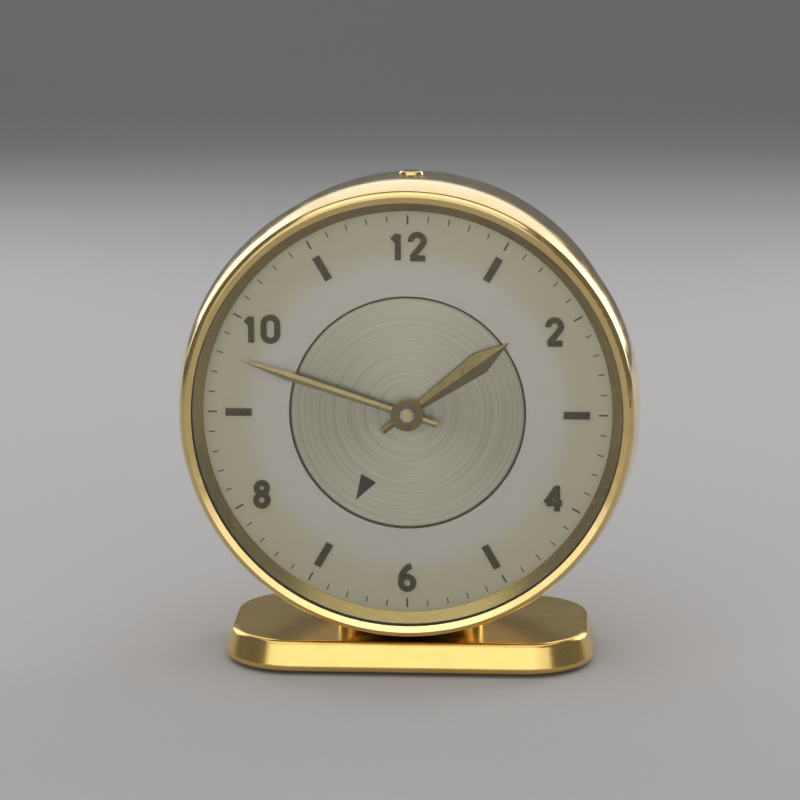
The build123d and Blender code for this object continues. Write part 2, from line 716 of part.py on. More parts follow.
def digit_face(digit):
    pen = NUMERAL_STROKE / NUMERAL_HEIGHT
    face = Sketch() + [trace(line, pen) for line in digit_lines(digit)]
    middle = Pos(-DIGIT_WIDTH * NUMERAL_HEIGHT / 2, -NUMERAL_HEIGHT / 2)
    return middle * scale(face, NUMERAL_HEIGHT)


def numeral(hour):
    """Raised figures that stand upright, centred on their hour."""
    digits = str(hour)
    place = beyond(CENTRE, MARKER_RADIUS, 90 - 30 * hour)
    figures = []
    for index, digit in enumerate(digits):
        shift = (index - (len(digits) - 1) / 2) * NUMERAL_PITCH
        figures.append(slab(place, Pos(shift, 0) * digit_face(digit), MARKER_HEIGHT, 0))
    return figures


def baton(hour):
    place = beyond(CENTRE, MARKER_RADIUS, 90 - 30 * hour)
    face = Rot(0, 0, -30 * hour) * Rectangle(BATON_WIDTH, BATON_LENGTH)
    return slab(place, face, MARKER_HEIGHT, 0)


def hour_markers():
    figures = [figure for hour in range(2, 13, 2) for figure in numeral(hour)]
    return figures + [baton(hour) for hour in range(1, 12, 2)]


def hand(length, point, width, bore, low, angle):
    """A sword hand, widest where its point begins, with a round hub and a short tail."""
    root = HAND_ROOT_WIDTH / 2
    half = [(root, -HAND_TAIL), (root, 0), (width / 2, length - point)]
    blade = outline(half + [(0, length)] + [(-x, y) for x, y in reversed(half)])
    face = blade + Circle(HAND_HUB) - Circle(bore)
    return slab(CENTRE, Rot(0, 0, -angle) * face, low + HAND_THICKNESS, low)


def hour_hand():
    bore = HOUR_TUBE_RADIUS + SEAT_GAP
    size = (HOUR_HAND_LENGTH, HOUR_HAND_POINT, HOUR_HAND_WIDTH)
    return hand(*size, bore, HOUR_HAND_Z, HOUR_HAND_ANGLE)


def minute_hand():
    bore = CANNON_RADIUS + SEAT_GAP
    size = (MINUTE_HAND_LENGTH, MINUTE_HAND_POINT, MINUTE_HAND_WIDTH)
    return hand(*size, bore, MINUTE_HAND_Z, MINUTE_HAND_ANGLE)


# Motion work under the dial
CANNON_Z = MOTION_Z + WHEEL_THICKNESS + PINION_OVERLAP / 2
HOUR_Z = MOTION_Z + 2 * WHEEL_THICKNESS + SHAFT_CLEARANCE
ALARM_WHEEL_Z = HOUR_Z + PINION_OVERLAP + WHEEL_THICKNESS + END_SHAKE


def cannon_pinion():
    phase = mesh_phase(direction(MINUTE, CENTRE), MINUTE_TEETH, CANNON_LEAVES)
    top = MINUTE_HAND_Z + HAND_THICKNESS + SLIP
    leaves = slab(CENTRE, pinion_face(CANNON_LEAVES, MINUTE_MODULE, phase), CANNON_Z, MOTION_Z - END_SHAKE)
    return leaves + disc(CENTRE, CANNON_RADIUS, top, MOTION_Z - END_SHAKE) - disc(
        CENTRE, CENTRE_ARBOR + SEAT_GAP, top, MOTION_Z - END_SHAKE
    )


def minute_wheel():
    phase = mesh_phase(direction(CENTRE, MINUTE), HOUR_TEETH, MINUTE_LEAVES)
    body = wheel(MINUTE, MINUTE_TEETH, MINUTE_MODULE, MOTION_Z + WHEEL_THICKNESS)
    body += slab(MINUTE, pinion_face(MINUTE_LEAVES, HOUR_MODULE, phase), HOUR_Z + PINION_OVERLAP, MOTION_Z)
    return body - disc(MINUTE, ARBOR_RADIUS + PIVOT_PLAY, HOUR_Z + PINION_OVERLAP, MOTION_Z)


def hour_wheel():
    low = HOUR_Z - WHEEL_THICKNESS
    top = HOUR_HAND_Z + HAND_THICKNESS + SLIP
    body = wheel(CENTRE, HOUR_TEETH, HOUR_MODULE, HOUR_Z) + disc(CENTRE, HOUR_TUBE_RADIUS, top, low)
    return body - disc(CENTRE, CANNON_RADIUS + PIVOT_PLAY, top, low)


def alarm_disc():
    """The setting disc in the middle of the dial, with its tube and its pointed mark."""
    face = -ALARM_DISC_SINK
    low = ALARM_WHEEL_Z - WHEEL_THICKNESS
    body = disc(CENTRE, ALARM_DISC_RADIUS, face, face - ALARM_DISC_THICKNESS)
    body += disc(CENTRE, ALARM_TUBE_RADIUS, face, low)
    tail = -ALARM_MARK_LENGTH / 2
    point = [(-ALARM_MARK_WIDTH / 2, tail), (ALARM_MARK_WIDTH / 2, tail), (0, -tail)]
    mark = Rot(0, 0, -ALARM_TIME_ANGLE) * Pos(0, ALARM_MARK_RADIUS) * outline(point)
    body += slab(CENTRE, mark, face + ALARM_MARK_HEIGHT, face)
    return body - disc(CENTRE, HOUR_TUBE_RADIUS + PIVOT_PLAY, face, low)


def alarm_wheel():
    body = wheel(CENTRE, ALARM_TEETH, ALARM_MODULE, ALARM_WHEEL_Z)
    body += disc(CENTRE, ALARM_TUBE_RADIUS + WHEEL_RIM, ALARM_WHEEL_Z, ALARM_WHEEL_Z - WHEEL_THICKNESS)
    low = ALARM_WHEEL_Z - WHEEL_THICKNESS
    return body - disc(CENTRE, ALARM_TUBE_RADIUS + SEAT_GAP, ALARM_WHEEL_Z, low)


def set_arbor(place, leaves, module, phase, high, thickness):
    """A setting arbor: a pinion under the dial and a plain shaft out to its knob at the back."""
    teeth = pinion(place, leaves, module, phase, high, thickness)
    return teeth + disc(place, SET_ARBOR, high, KNOB_BORE_Z + END_SHAKE)


def time_set_arbor():
    phase = mesh_phase(direction(MINUTE, TIME_SET), MINUTE_TEETH, CANNON_LEAVES)
    high = MOTION_Z + WHEEL_THICKNESS
    return set_arbor(TIME_SET, CANNON_LEAVES, MINUTE_MODULE, phase, high, WHEEL_THICKNESS - PINION_OVERLAP)


def alarm_set_arbor():
    phase = mesh_phase(direction(CENTRE, ALARM_SET), ALARM_TEETH, ALARM_SET_LEAVES)
    return set_arbor(ALARM_SET, ALARM_SET_LEAVES, ALARM_MODULE, phase, ALARM_WHEEL_Z, WHEEL_THICKNESS)


def knob(place):
    """A fluted finger knob pressed on a setting arbor."""
    body = disc(place, KNOB_RADIUS, KEY_Z, KEY_Z - KNOB_LENGTH)
    body = fillet(body.edges().filter_by(GeomType.CIRCLE).sort_by(Axis.Z)[0], KNOB_EDGE)
    for flute in range(KNOB_FLUTES):
        spot = beyond(place, KNOB_RADIUS, flute * 360 / KNOB_FLUTES)
        body -= disc(spot, KNOB_FLUTE, KEY_Z, KEY_Z - KNOB_LENGTH)
    return body - disc(place, SET_ARBOR + SEAT_GAP, KEY_Z, KNOB_BORE_Z)


# Movement frame
ARBOR_HOLES = [
    (CENTRE, CANNON_RADIUS, PIVOT_RADIUS),
    (THIRD, PIVOT_RADIUS, PIVOT_RADIUS),
    (FOURTH, PIVOT_RADIUS, PIVOT_RADIUS),
    (ESCAPE, PIVOT_RADIUS, PIVOT_RADIUS),
    (LEVER, PIVOT_RADIUS, PIVOT_RADIUS),
    (INTERMEDIATE, PIVOT_RADIUS, PIVOT_RADIUS),
    (STRIKE, PIVOT_RADIUS, PIVOT_RADIUS),
    (BARREL, ARBOR_RADIUS, BARREL_ARBOR),
    (RINGER, ARBOR_RADIUS, BARREL_ARBOR),
    (HAMMER, PIVOT_RADIUS, ARBOR_RADIUS),
    (TIME_SET, SET_ARBOR, SET_ARBOR),
    (ALARM_SET, SET_ARBOR, SET_ARBOR),
    (BALANCE, PIVOT_RADIUS, ROLLER_RADIUS),
]


def movement_ring():
    body = tube(CENTRE, RING_OUTER, RING_INNER, DIAL_BACK_Z, PLATE_FRONT_Z)
    tapped = PLATE_FRONT_Z + SCREW_BITE + SLIP
    return body - [screw_hole(place, tapped, PLATE_FRONT_Z) for place in RING_SCREWS]


def front_plate():
    """The dial-side plate, with the stud that carries the minute wheel."""
    body = disc(CENTRE, PLATE_RADIUS, PLATE_FRONT_Z, GAP_FRONT_Z)
    for place, front, _ in ARBOR_HOLES:
        body -= disc(place, front + PIVOT_PLAY, PLATE_FRONT_Z, GAP_FRONT_Z)
    body -= [screw_hole(place, PLATE_FRONT_Z, GAP_FRONT_Z) for place in PILLARS + RING_SCREWS]
    return body + disc(MINUTE, ARBOR_RADIUS, HOUR_Z + PINION_OVERLAP, GAP_FRONT_Z)


CLICK_SIDES = ((BARREL, 150), (RINGER, 40))
CLICK_REACH = RATCHET_RADIUS + CLICK_CLEARANCE + CLICK_WIDTH / 2


def click_pivot(place, angle):
    """The click's pivot lies beside the ratchet, one click length from where the tip rests."""
    tip = beyond(place, CLICK_REACH, angle)
    return beyond(tip, CLICK_LENGTH, angle + 90)


CLICK_PIVOTS = [click_pivot(place, angle) for place, angle in CLICK_SIDES]
COCK_SCREWS = [beyond(COCK_FOOT, COCK_WIDTH / 2, COCK_FOOT_ANGLE + side) for side in (90, -90)]


def back_plate():
    body = disc(CENTRE, PLATE_RADIUS, GAP_REAR_Z, PLATE_REAR_Z)
    for place, _, rear in ARBOR_HOLES:
        body -= disc(place, rear + PIVOT_PLAY, GAP_REAR_Z, PLATE_REAR_Z)
    holes = PILLARS + CLICK_PIVOTS + COCK_SCREWS
    return body - [screw_hole(place, GAP_REAR_Z, PLATE_REAR_Z) for place in holes]


def plate_pillars():
    pillars = []
    for place in PILLARS:
        body = disc(place, PILLAR_RADIUS, GAP_FRONT_Z, GAP_REAR_Z)
        body -= screw_hole(place, GAP_FRONT_Z, GAP_FRONT_Z - SCREW_BITE - SLIP)
        body -= screw_hole(place, GAP_REAR_Z + SCREW_BITE + SLIP, GAP_REAR_Z)
        pillars.append(body)
    return pillars


def movement_screws():
    through = PLATE_THICKNESS + SCREW_BITE
    screws = [screw(place, PLATE_FRONT_Z, -1, through) for place in PILLARS]
    screws += [screw(place, PLATE_REAR_Z, 1, through) for place in PILLARS]
    screws += [screw(place, GAP_FRONT_Z, 1, through) for place in RING_SCREWS]
    screws += [screw(place, COCK_REAR_Z, 1, COCK_THICKNESS + PLATE_THICKNESS) for place in COCK_SCREWS]
    seat = RATCHET_Z - RATCHET_THICKNESS - END_SHAKE
    return screws + [screw(place, seat, 1, PLATE_REAR_Z - seat + PLATE_THICKNESS) for place in CLICK_PIVOTS]


# Going train
def centre_wheel():
    """Turns once an hour; its arbor runs through the front plate to carry the hands."""
    phase = mesh_phase(direction(INTERMEDIATE, CENTRE), INTERMEDIATE_TEETH, CENTRE_LEAVES)
    rear = GAP_REAR_Z + END_SHAKE
    front = GAP_FRONT_Z - END_SHAKE
    body = wheel(CENTRE, CENTRE_TEETH, CENTRE_MODULE, CENTRE_Z)
    body += pinion(CENTRE, CENTRE_LEAVES, INTERMEDIATE_MODULE, phase, INTERMEDIATE_Z, WHEEL_THICKNESS)
    return body + shaft(
        CENTRE,
        (CENTRE_ARBOR, MINUTE_HAND_Z + HAND_THICKNESS + HAND_SPACING, MOTION_Z),
        (CANNON_RADIUS, MOTION_Z - 2 * END_SHAKE, front),
        (CENTRE_ARBOR, MOTION_Z, rear),
        (PIVOT_RADIUS, rear, PLATE_REAR_Z + END_SHAKE),
    )


def intermediate_wheel():
    phase = mesh_phase(direction(BARREL, INTERMEDIATE), BARREL_TEETH, INTERMEDIATE_LEAVES)
    body = wheel(INTERMEDIATE, INTERMEDIATE_TEETH, INTERMEDIATE_MODULE, INTERMEDIATE_Z)
    leaves = (INTERMEDIATE, INTERMEDIATE_LEAVES, BARREL_MODULE, phase, BARREL_TOOTH_Z, BARREL_TOOTH_HEIGHT)
    return body + pinion(*leaves) + train_arbor(INTERMEDIATE)


def third_wheel():
    phase = mesh_phase(direction(CENTRE, THIRD), CENTRE_TEETH, THIRD_LEAVES)
    body = wheel(THIRD, THIRD_TEETH, THIRD_MODULE, THIRD_Z)
    body += pinion(THIRD, THIRD_LEAVES, CENTRE_MODULE, phase, CENTRE_Z, WHEEL_THICKNESS)
    return body + train_arbor(THIRD)


def fourth_wheel():
    phase = mesh_phase(direction(THIRD, FOURTH), THIRD_TEETH, FOURTH_LEAVES)
    body = wheel(FOURTH, FOURTH_TEETH, FOURTH_MODULE, FOURTH_Z)
    body += pinion(FOURTH, FOURTH_LEAVES, THIRD_MODULE, phase, THIRD_Z, WHEEL_THICKNESS)
    return body + train_arbor(FOURTH)


def saw_face(teeth, radius, depth, lean):
    """Pointed teeth that lean one way, as on an escape wheel or a ratchet."""
    step = math.tau / teeth
    points = []
    for tooth in range(teeth):
        middle = tooth * step
        points.append(polar(radius, lean * middle))
        points.append(polar(radius - depth, lean * (middle + step * SAW_FRONT)))
        points.append(polar(radius - depth, lean * (middle + step * SAW_BACK)))
    return outline(points)


def escape_wheel():
    phase = mesh_phase(direction(FOURTH, ESCAPE), FOURTH_TEETH, ESCAPE_LEAVES)
    rim = ESCAPE_RADIUS - ESCAPE_TOOTH_DEPTH - WHEEL_RIM
    windows = Circle(rim) - Circle(WHEEL_HUB / 2)
    for arm in range(ESCAPE_ARMS):
        spoke = Pos(rim / 2, 0) * Rectangle(rim + WHEEL_RIM, WHEEL_ARM / 2)
        windows -= Rot(0, 0, arm * 360 / ESCAPE_ARMS) * spoke
    teeth = saw_face(ESCAPE_TEETH, ESCAPE_RADIUS, ESCAPE_TOOTH_DEPTH, 1) - windows
    body = slab(ESCAPE, teeth, ESCAPE_Z, ESCAPE_Z - WHEEL_THICKNESS)
    body += pinion(ESCAPE, ESCAPE_LEAVES, FOURTH_MODULE, phase, FOURTH_Z, WHEEL_THICKNESS)
    low = FOURTH_Z - WHEEL_THICKNESS - PINION_OVERLAP
    slim = FOURTH_MODULE * (ESCAPE_LEAVES / 2 - PINION_DEDENDUM)
    return body + shaft(
        ESCAPE,
        (PIVOT_RADIUS, PLATE_FRONT_Z - END_SHAKE, GAP_FRONT_Z - END_SHAKE),
        (slim, GAP_FRONT_Z - END_SHAKE, low),
        (ARBOR_RADIUS, low, GAP_REAR_Z + END_SHAKE),
        (PIVOT_RADIUS, GAP_REAR_Z + END_SHAKE, PLATE_REAR_Z + END_SHAKE),
    )


def pallet_lever():
    """The lever that lets the train advance: two pallets by the escape wheel, a fork by the balance."""
    fork = BALANCE_DISTANCE - IMPULSE_RADIUS - IMPULSE_PIN - SLIP
    stone = ESCAPE_RADIUS + PALLET_CLEARANCE + PALLET_WIDTH / 2
    face = Circle(LEVER_WIDTH) + Pos(fork / 2, 0) * Rectangle(fork, LEVER_WIDTH)
    face += Pos(fork - FORK_NOTCH, 0) * Rectangle(2 * FORK_NOTCH, FORK_WIDTH)
    face -= Pos(fork, 0) * Rectangle(2 * FORK_NOTCH, FORK_NOTCH)
    for side in (-1, 1):
        spot = polar(stone, math.radians(side * PALLET_SPREAD))
        reach = (spot[0] - LEVER_DISTANCE, spot[1])
        face += bar(math.hypot(*reach), PALLET_WIDTH, math.degrees(math.atan2(reach[1], reach[0])))
    body = slab(LEVER, Rot(0, 0, TRAIN_ANGLE_LEVER) * face, ESCAPE_Z, ESCAPE_Z - WHEEL_THICKNESS)
    return body + train_arbor(LEVER)


def balance_wheel():
    rim = Circle(BALANCE_RADIUS) - Circle(BALANCE_RADIUS - BALANCE_RIM)
    arms = Rectangle(2 * BALANCE_RADIUS - BALANCE_RIM, BALANCE_ARM) + Circle(WHEEL_HUB)
    bore = Circle(ARBOR_RADIUS + SEAT_GAP)
    face = Rot(0, 0, TRAIN_ANGLE_LEVER) * (rim + arms - bore)
    return slab(BALANCE, face, BALANCE_Z, BALANCE_Z - BALANCE_THICKNESS)


def balance_staff():
    """The balance arbor with the roller and the pin that meets the lever's fork."""
    front = GAP_FRONT_Z - END_SHAKE
    rear = PLATE_REAR_Z + END_SHAKE
    roller = ESCAPE_Z + LAYER_GAP
    body = shaft(
        BALANCE,
        (PIVOT_RADIUS, PLATE_FRONT_Z - END_SHAKE, front),
        (ARBOR_RADIUS, front, rear),
        (PIVOT_RADIUS, rear, COCK_REAR_Z + END_SHAKE),
        (ROLLER_RADIUS, roller + LAYER_GAP / 2, roller),
    )
    pin = beyond(BALANCE, IMPULSE_RADIUS, TRAIN_ANGLE_LEVER + 180)
    return body + disc(pin, IMPULSE_PIN, roller, ESCAPE_Z - WHEEL_THICKNESS)


def hairspring():
    inner = ARBOR_RADIUS + HAIRSPRING_THICKNESS + PIVOT_PLAY
    face = spiral_face(inner, HAIRSPRING_RADIUS, HAIRSPRING_TURNS, HAIRSPRING_THICKNESS)
    return slab(BALANCE, face, HAIRSPRING_Z, HAIRSPRING_Z - HAIRSPRING_HEIGHT)


def balance_cock():
    """A bridge on the back plate that carries the balance pivot and the hairspring's stud."""
    arm = Rot(0, 0, COCK_FOOT_ANGLE) * Pos(COCK_FOOT_DISTANCE / 2, 0)
    face = arm * SlotCenterToCenter(COCK_FOOT_DISTANCE, COCK_WIDTH)
    foot = Rot(0, 0, COCK_FOOT_ANGLE) * Pos(COCK_FOOT_DISTANCE, 0)
    face += foot * Rot(0, 0, 90) * SlotCenterToCenter(COCK_WIDTH, COCK_WIDTH)
    body = slab(BALANCE, face, PLATE_REAR_Z, COCK_REAR_Z)
    body += disc(BALANCE, INDEX_RING / 2, COCK_REAR_Z, COCK_REAR_Z - INDEX_THICKNESS)
    body -= disc(BALANCE, PIVOT_RADIUS + PIVOT_PLAY, PLATE_REAR_Z, COCK_REAR_Z)
    return body - [screw_hole(place, PLATE_REAR_Z, COCK_REAR_Z) for place in COCK_SCREWS]


def regulator_index():
    """The rate lever: a ring on the cock, an arm and a pin that reaches out through the cover."""
    face = Circle(INDEX_RING) + bar(INDEX_LENGTH, INDEX_WIDTH, INDEX_ANGLE)
    face -= Circle(INDEX_RING / 2 + PIVOT_PLAY)
    low = COCK_REAR_Z - INDEX_THICKNESS
    pin = beyond(BALANCE, INDEX_LENGTH, INDEX_ANGLE)
    return slab(BALANCE, face, COCK_REAR_Z, low) + disc(pin, INDEX_PIN, low, COVER_REAR_Z - KEY_STANDOFF)


# Barrels
def drum_radius(teeth, module):
    return teeth * module / 2 - WHEEL_DEDENDUM * module - SHAFT_CLEARANCE


def barrel_drum(place, teeth, module):
    """A toothed drum, open to the front, that holds a mainspring."""
    radius = drum_radius(teeth, module)
    floor = BARREL_Z - BARREL_HEIGHT
    body = disc(place, radius, BARREL_Z, floor)
    body += slab(place, wheel_face(teeth, module), BARREL_TOOTH_Z, floor)
    body -= disc(place, radius - BARREL_WALL, BARREL_Z, floor + BARREL_FLOOR)
    return body - disc(place, BARREL_ARBOR + PIVOT_PLAY, BARREL_Z, floor)


def drum_cover(place, teeth, module):
    """The cover sprung into the open end of a drum."""
    radius = drum_radius(teeth, module) - BARREL_WALL - SEAT_GAP
    return tube(place, radius, BARREL_ARBOR + PIVOT_PLAY, BARREL_Z, BARREL_Z - BARREL_FLOOR)


def drum_spring(place, teeth, module):
    inner = BARREL_CORE + MAINSPRING_GAP + MAINSPRING_THICKNESS / 2
    outer = drum_radius(teeth, module) - BARREL_WALL - MAINSPRING_GAP - MAINSPRING_THICKNESS
    face = spiral_face(inner, outer, MAINSPRING_TURNS, MAINSPRING_THICKNESS)
    high = BARREL_Z - BARREL_FLOOR - END_SHAKE
    return slab(place, face, high, BARREL_Z - BARREL_HEIGHT + BARREL_FLOOR + END_SHAKE)


def winding_arbor(place):
    """The core that winds a mainspring, from the front plate out to its key."""
    front = GAP_FRONT_Z - END_SHAKE
    core = BARREL_Z - BARREL_FLOOR - END_SHAKE
    core_rear = BARREL_Z - BARREL_HEIGHT + BARREL_FLOOR + END_SHAKE
    return shaft(
        place,
        (ARBOR_RADIUS, PLATE_FRONT_Z - END_SHAKE, front),
        (BARREL_ARBOR, front, KEY_Z - KEY_HUB_LENGTH + END_SHAKE),
        (BARREL_CORE, core, core_rear),
    )


def ratchet(place):
    teeth = saw_face(RATCHET_TEETH, RATCHET_RADIUS, RATCHET_DEPTH, -1) - Circle(BARREL_ARBOR + SEAT_GAP)
    return slab(place, teeth, RATCHET_Z, RATCHET_Z - RATCHET_THICKNESS)


def click(place, angle):
    """A pawl on a shoulder screw whose nose rests beside the ratchet teeth."""
    pivot = click_pivot(place, angle)
    tail = Circle(CLICK_WIDTH) + bar(CLICK_LENGTH, CLICK_WIDTH, angle - 90)
    face = tail - Circle(SCREW_RADIUS + PIVOT_PLAY)
    return slab(pivot, face, RATCHET_Z, RATCHET_Z - RATCHET_THICKNESS)


def click_springs():
    """A blade beside each click, standing on a foot on the back plate."""
    springs = []
    for place, angle in CLICK_SIDES:
        back = CLICK_REACH + CLICK_WIDTH / 2 + CLICK_CLEARANCE + CLICK_SPRING_THICKNESS / 2
        blade = Pos(0, -CLICK_SPRING_LENGTH / 2) * Rectangle(CLICK_SPRING_THICKNESS, CLICK_SPRING_LENGTH)
        face = Rot(0, 0, angle) * Pos(back, CLICK_LENGTH / 2) * blade
        foot = Rot(0, 0, angle) * Pos(back, CLICK_LENGTH / 2 - CLICK_SPRING_LENGTH) * Circle(SCREW_RADIUS)
        body = slab(place, face, RATCHET_Z, RATCHET_Z - RATCHET_THICKNESS)
        springs.append(body + slab(place, foot, PLATE_REAR_Z, RATCHET_Z - RATCHET_THICKNESS))
    return springs


def wing_key(place):
    """A butterfly key: a hub on the arbor and a pierced wing across it."""
    hub_rear = KEY_Z - KEY_HUB_LENGTH
    hub = disc(place, KEY_HUB, KEY_Z, hub_rear - KEY_HUB / 2)
    eyes = [Pos(side * KEY_EYE_SPACING / 2, 0) * Circle(KEY_EYE) for side in (-1, 1)]
    face = SlotOverall(KEY_SPAN, KEY_WING_HEIGHT) - eyes
    wing = extrude(Plane.XZ * face, KEY_WING_THICKNESS / 2, both=True)
    hub += Pos(place[0], place[1], hub_rear - KEY_WING_HEIGHT / 2) * wing
    return hub - disc(place, BARREL_ARBOR + SEAT_GAP, KEY_Z, hub_rear)


# Alarm strike and stop
def strike_wheel():
    phase = mesh_phase(direction(RINGER, STRIKE), RINGER_TEETH, STRIKE_LEAVES)
    star = saw_face(STRIKE_TEETH, STRIKE_RADIUS, STRIKE_TOOTH_DEPTH, 1)
    body = slab(STRIKE, star, CENTRE_Z, CENTRE_Z - WHEEL_THICKNESS)
    leaves = (STRIKE, STRIKE_LEAVES, RINGER_MODULE, phase, BARREL_TOOTH_Z, BARREL_TOOTH_HEIGHT)
    return body + pinion(*leaves) + train_arbor(STRIKE)


HAMMER_FRONT_Z = RATCHET_Z
HAMMER_REAR_Z = HAMMER_FRONT_Z - HAMMER_ARM_WIDTH


def hammer():
    """An anchor between the plates and, behind them, the arm and head that strike the stud."""
    reach = HAMMER_DISTANCE - STRIKE_RADIUS - HAMMER_ANCHOR_CLEARANCE
    anchor = Circle(reach / 2 + PIVOT_RADIUS) + Rectangle(HAMMER_ARM_WIDTH, HAMMER_ANCHOR_LENGTH)
    rear = GAP_REAR_Z + END_SHAKE
    body = slab(HAMMER, Rot(0, 0, HAMMER_ANGLE) * anchor, CENTRE_Z, CENTRE_Z - WHEEL_THICKNESS)
    body += shaft(
        HAMMER,
        (PIVOT_RADIUS, PLATE_FRONT_Z - END_SHAKE, GAP_FRONT_Z - END_SHAKE),
        (ARBOR_RADIUS, GAP_FRONT_Z - END_SHAKE, rear),
        (ARBOR_RADIUS, rear, HAMMER_REAR_Z),
    )
    body += slab(HAMMER, bar(HAMMER_ARM, HAMMER_ARM_WIDTH, HAMMER_ARM_ANGLE), HAMMER_FRONT_Z, HAMMER_REAR_Z)
    return body + disc(HAMMER_HEAD_PLACE, HAMMER_HEAD, HAMMER_FRONT_Z, HAMMER_FRONT_Z - HAMMER_HEAD_LENGTH)


def gong_stud():
    return disc(GONG, GONG_RADIUS, HAMMER_FRONT_Z, COVER_Z)


def stop_button():
    """A domed plunger through the top of the drum, kept in by a flange under the wall."""
    top = CASE_RADIUS + BUTTON_PRESSED + BUTTON_TRAVEL
    flange = CASE_INNER - SLIP
    plunger = radial_bar(BUTTON_RADIUS, top, flange - BUTTON_FLANGE_THICKNESS)
    plunger = fillet(plunger.edges().filter_by(GeomType.CIRCLE).sort_by(Axis.Y)[-1], BUTTON_DOME)
    return plunger + radial_bar(BUTTON_RADIUS + BUTTON_FLANGE, flange, flange - BUTTON_FLANGE_THICKNESS)


STOP_SPRING_TOP = CASE_INNER - SLIP - BUTTON_FLANGE_THICKNESS - SLIP


def stop_spring():
    """A curved blade under the button with a foot at each end against the drum's wall."""
    spread = math.radians(STOP_SPRING_SPREAD)
    inner = STOP_SPRING_TOP - STOP_SPRING_THICKNESS
    up = math.pi / 2
    walls = []
    for radius in (inner, STOP_SPRING_TOP):
        walls.append([polar(radius, up - spread), (0, radius), polar(radius, up + spread)])
    edges = [ThreePointArc(*wall) for wall in walls]
    edges += [Line(walls[0][end], walls[1][end]) for end in (0, 2)]
    blade = make_face(edges)
    foot_height = CASE_INNER - SEAT_GAP - inner
    for side in (-1, 1):
        turn = Rot(0, 0, side * STOP_SPRING_SPREAD) * Pos(0, inner + foot_height / 2)
        blade += turn * Rectangle(2 * STOP_SPRING_THICKNESS, foot_height)
    middle = BUTTON_Z + STOP_SPRING_WIDTH / 2
    return slab(CENTRE, blade, middle, middle - STOP_SPRING_WIDTH)


# Rear cover
def back_cover():
    """The rear plate, pierced for both keys, both knobs and the rate lever."""
    body = disc(CENTRE, COVER_RADIUS, COVER_Z, COVER_REAR_Z)
    for place in (BARREL, RINGER):
        body -= disc(place, BARREL_ARBOR + SHAFT_CLEARANCE, COVER_Z, COVER_REAR_Z)
    for place in (TIME_SET, ALARM_SET):
        body -= disc(place, SET_ARBOR + SHAFT_CLEARANCE, COVER_Z, COVER_REAR_Z)
    travel = 2 * INDEX_TRAVEL
    track = CenterArc(BALANCE, INDEX_LENGTH, INDEX_ANGLE - travel / 2, travel)
    body -= slab(CENTRE, SlotArc(track, 2 * (INDEX_PIN + SHAFT_CLEARANCE)), COVER_Z, COVER_REAR_Z)
    return body - [screw_hole(place, COVER_Z, COVER_REAR_Z) for place in COVER_SCREWS]


def back_cover_screws():
    length = COVER_THICKNESS + COVER_LEDGE_THICKNESS
    return [screw(place, COVER_REAR_Z, 1, length) for place in COVER_SCREWS]


STANDING_NODES = {
    "base_plate": base_plate(),
    "base_felt": base_felt(),
    "base_saddle": base_saddle(),
    "saddle_screws": saddle_screws(),
    "case_body": case_body(),
}

DIAL_FRAME_NODES = {
    "bezel": bezel(),
    "crystal": crystal(),
    "crystal_gasket": crystal_gasket(),
    "rehaut_ring": rehaut_ring(),
    "dial_plate": dial_plate(),
    "hour_markers": hour_markers(),
    "hour_hand": hour_hand(),
    "minute_hand": minute_hand(),
    "cannon_pinion": cannon_pinion(),
    "minute_wheel": minute_wheel(),
    "hour_wheel": hour_wheel(),
    "alarm_disc": alarm_disc(),
    "alarm_wheel": alarm_wheel(),
    "time_set_arbor": time_set_arbor(),
    "alarm_set_arbor": alarm_set_arbor(),
    "time_set_knob": knob(TIME_SET),
    "alarm_set_knob": knob(ALARM_SET),
    "movement_ring": movement_ring(),
    "front_plate": front_plate(),
    "back_plate": back_plate(),
    "plate_pillars": plate_pillars(),
    "movement_screws": movement_screws(),
    "centre_wheel": centre_wheel(),
    "intermediate_wheel": intermediate_wheel(),
    "third_wheel": third_wheel(),
    "fourth_wheel": fourth_wheel(),
    "escape_wheel": escape_wheel(),
    "pallet_lever": pallet_lever(),
    "balance_wheel": balance_wheel(),
    "balance_staff": balance_staff(),
    "hairspring": hairspring(),
    "balance_cock": balance_cock(),
    "regulator_index": regulator_index(),
    "barrel": barrel_drum(BARREL, BARREL_TEETH, BARREL_MODULE),
    "barrel_cover": drum_cover(BARREL, BARREL_TEETH, BARREL_MODULE),
    "mainspring": drum_spring(BARREL, BARREL_TEETH, BARREL_MODULE),
    "barrel_arbor": winding_arbor(BARREL),
    "ratchet_wheel": ratchet(BARREL),
    "time_click": click(*CLICK_SIDES[0]),
    "winding_key": wing_key(BARREL),
    "alarm_barrel": barrel_drum(RINGER, RINGER_TEETH, RINGER_MODULE),
    "alarm_barrel_cover": drum_cover(RINGER, RINGER_TEETH, RINGER_MODULE),
    "alarm_mainspring": drum_spring(RINGER, RINGER_TEETH, RINGER_MODULE),
    "alarm_barrel_arbor": winding_arbor(RINGER),
    "alarm_ratchet_wheel": ratchet(RINGER),
    "alarm_click": click(*CLICK_SIDES[1]),
    "alarm_key": wing_key(RINGER),
    "click_springs": click_springs(),
    "strike_wheel": strike_wheel(),
    "hammer": hammer(),
    "gong_stud": gong_stud(),
    "stop_button": stop_button(),
    "stop_spring": stop_spring(),
    "back_cover": back_cover(),
    "back_cover_screws": back_cover_screws(),
}

os.makedirs("parts", exist_ok=True)
for name, piece in STANDING_NODES.items():
    solids = piece if isinstance(piece, list) else [piece]
    export_step(Compound(solids) if len(solids) > 1 else solids[0], f"parts/{name}.step")
for name, piece in DIAL_FRAME_NODES.items():
    solids = [standing(solid) for solid in (piece if isinstance(piece, list) else [piece])]
    export_step(Compound(solids) if len(solids) > 1 else solids[0], f"parts/{name}.step")
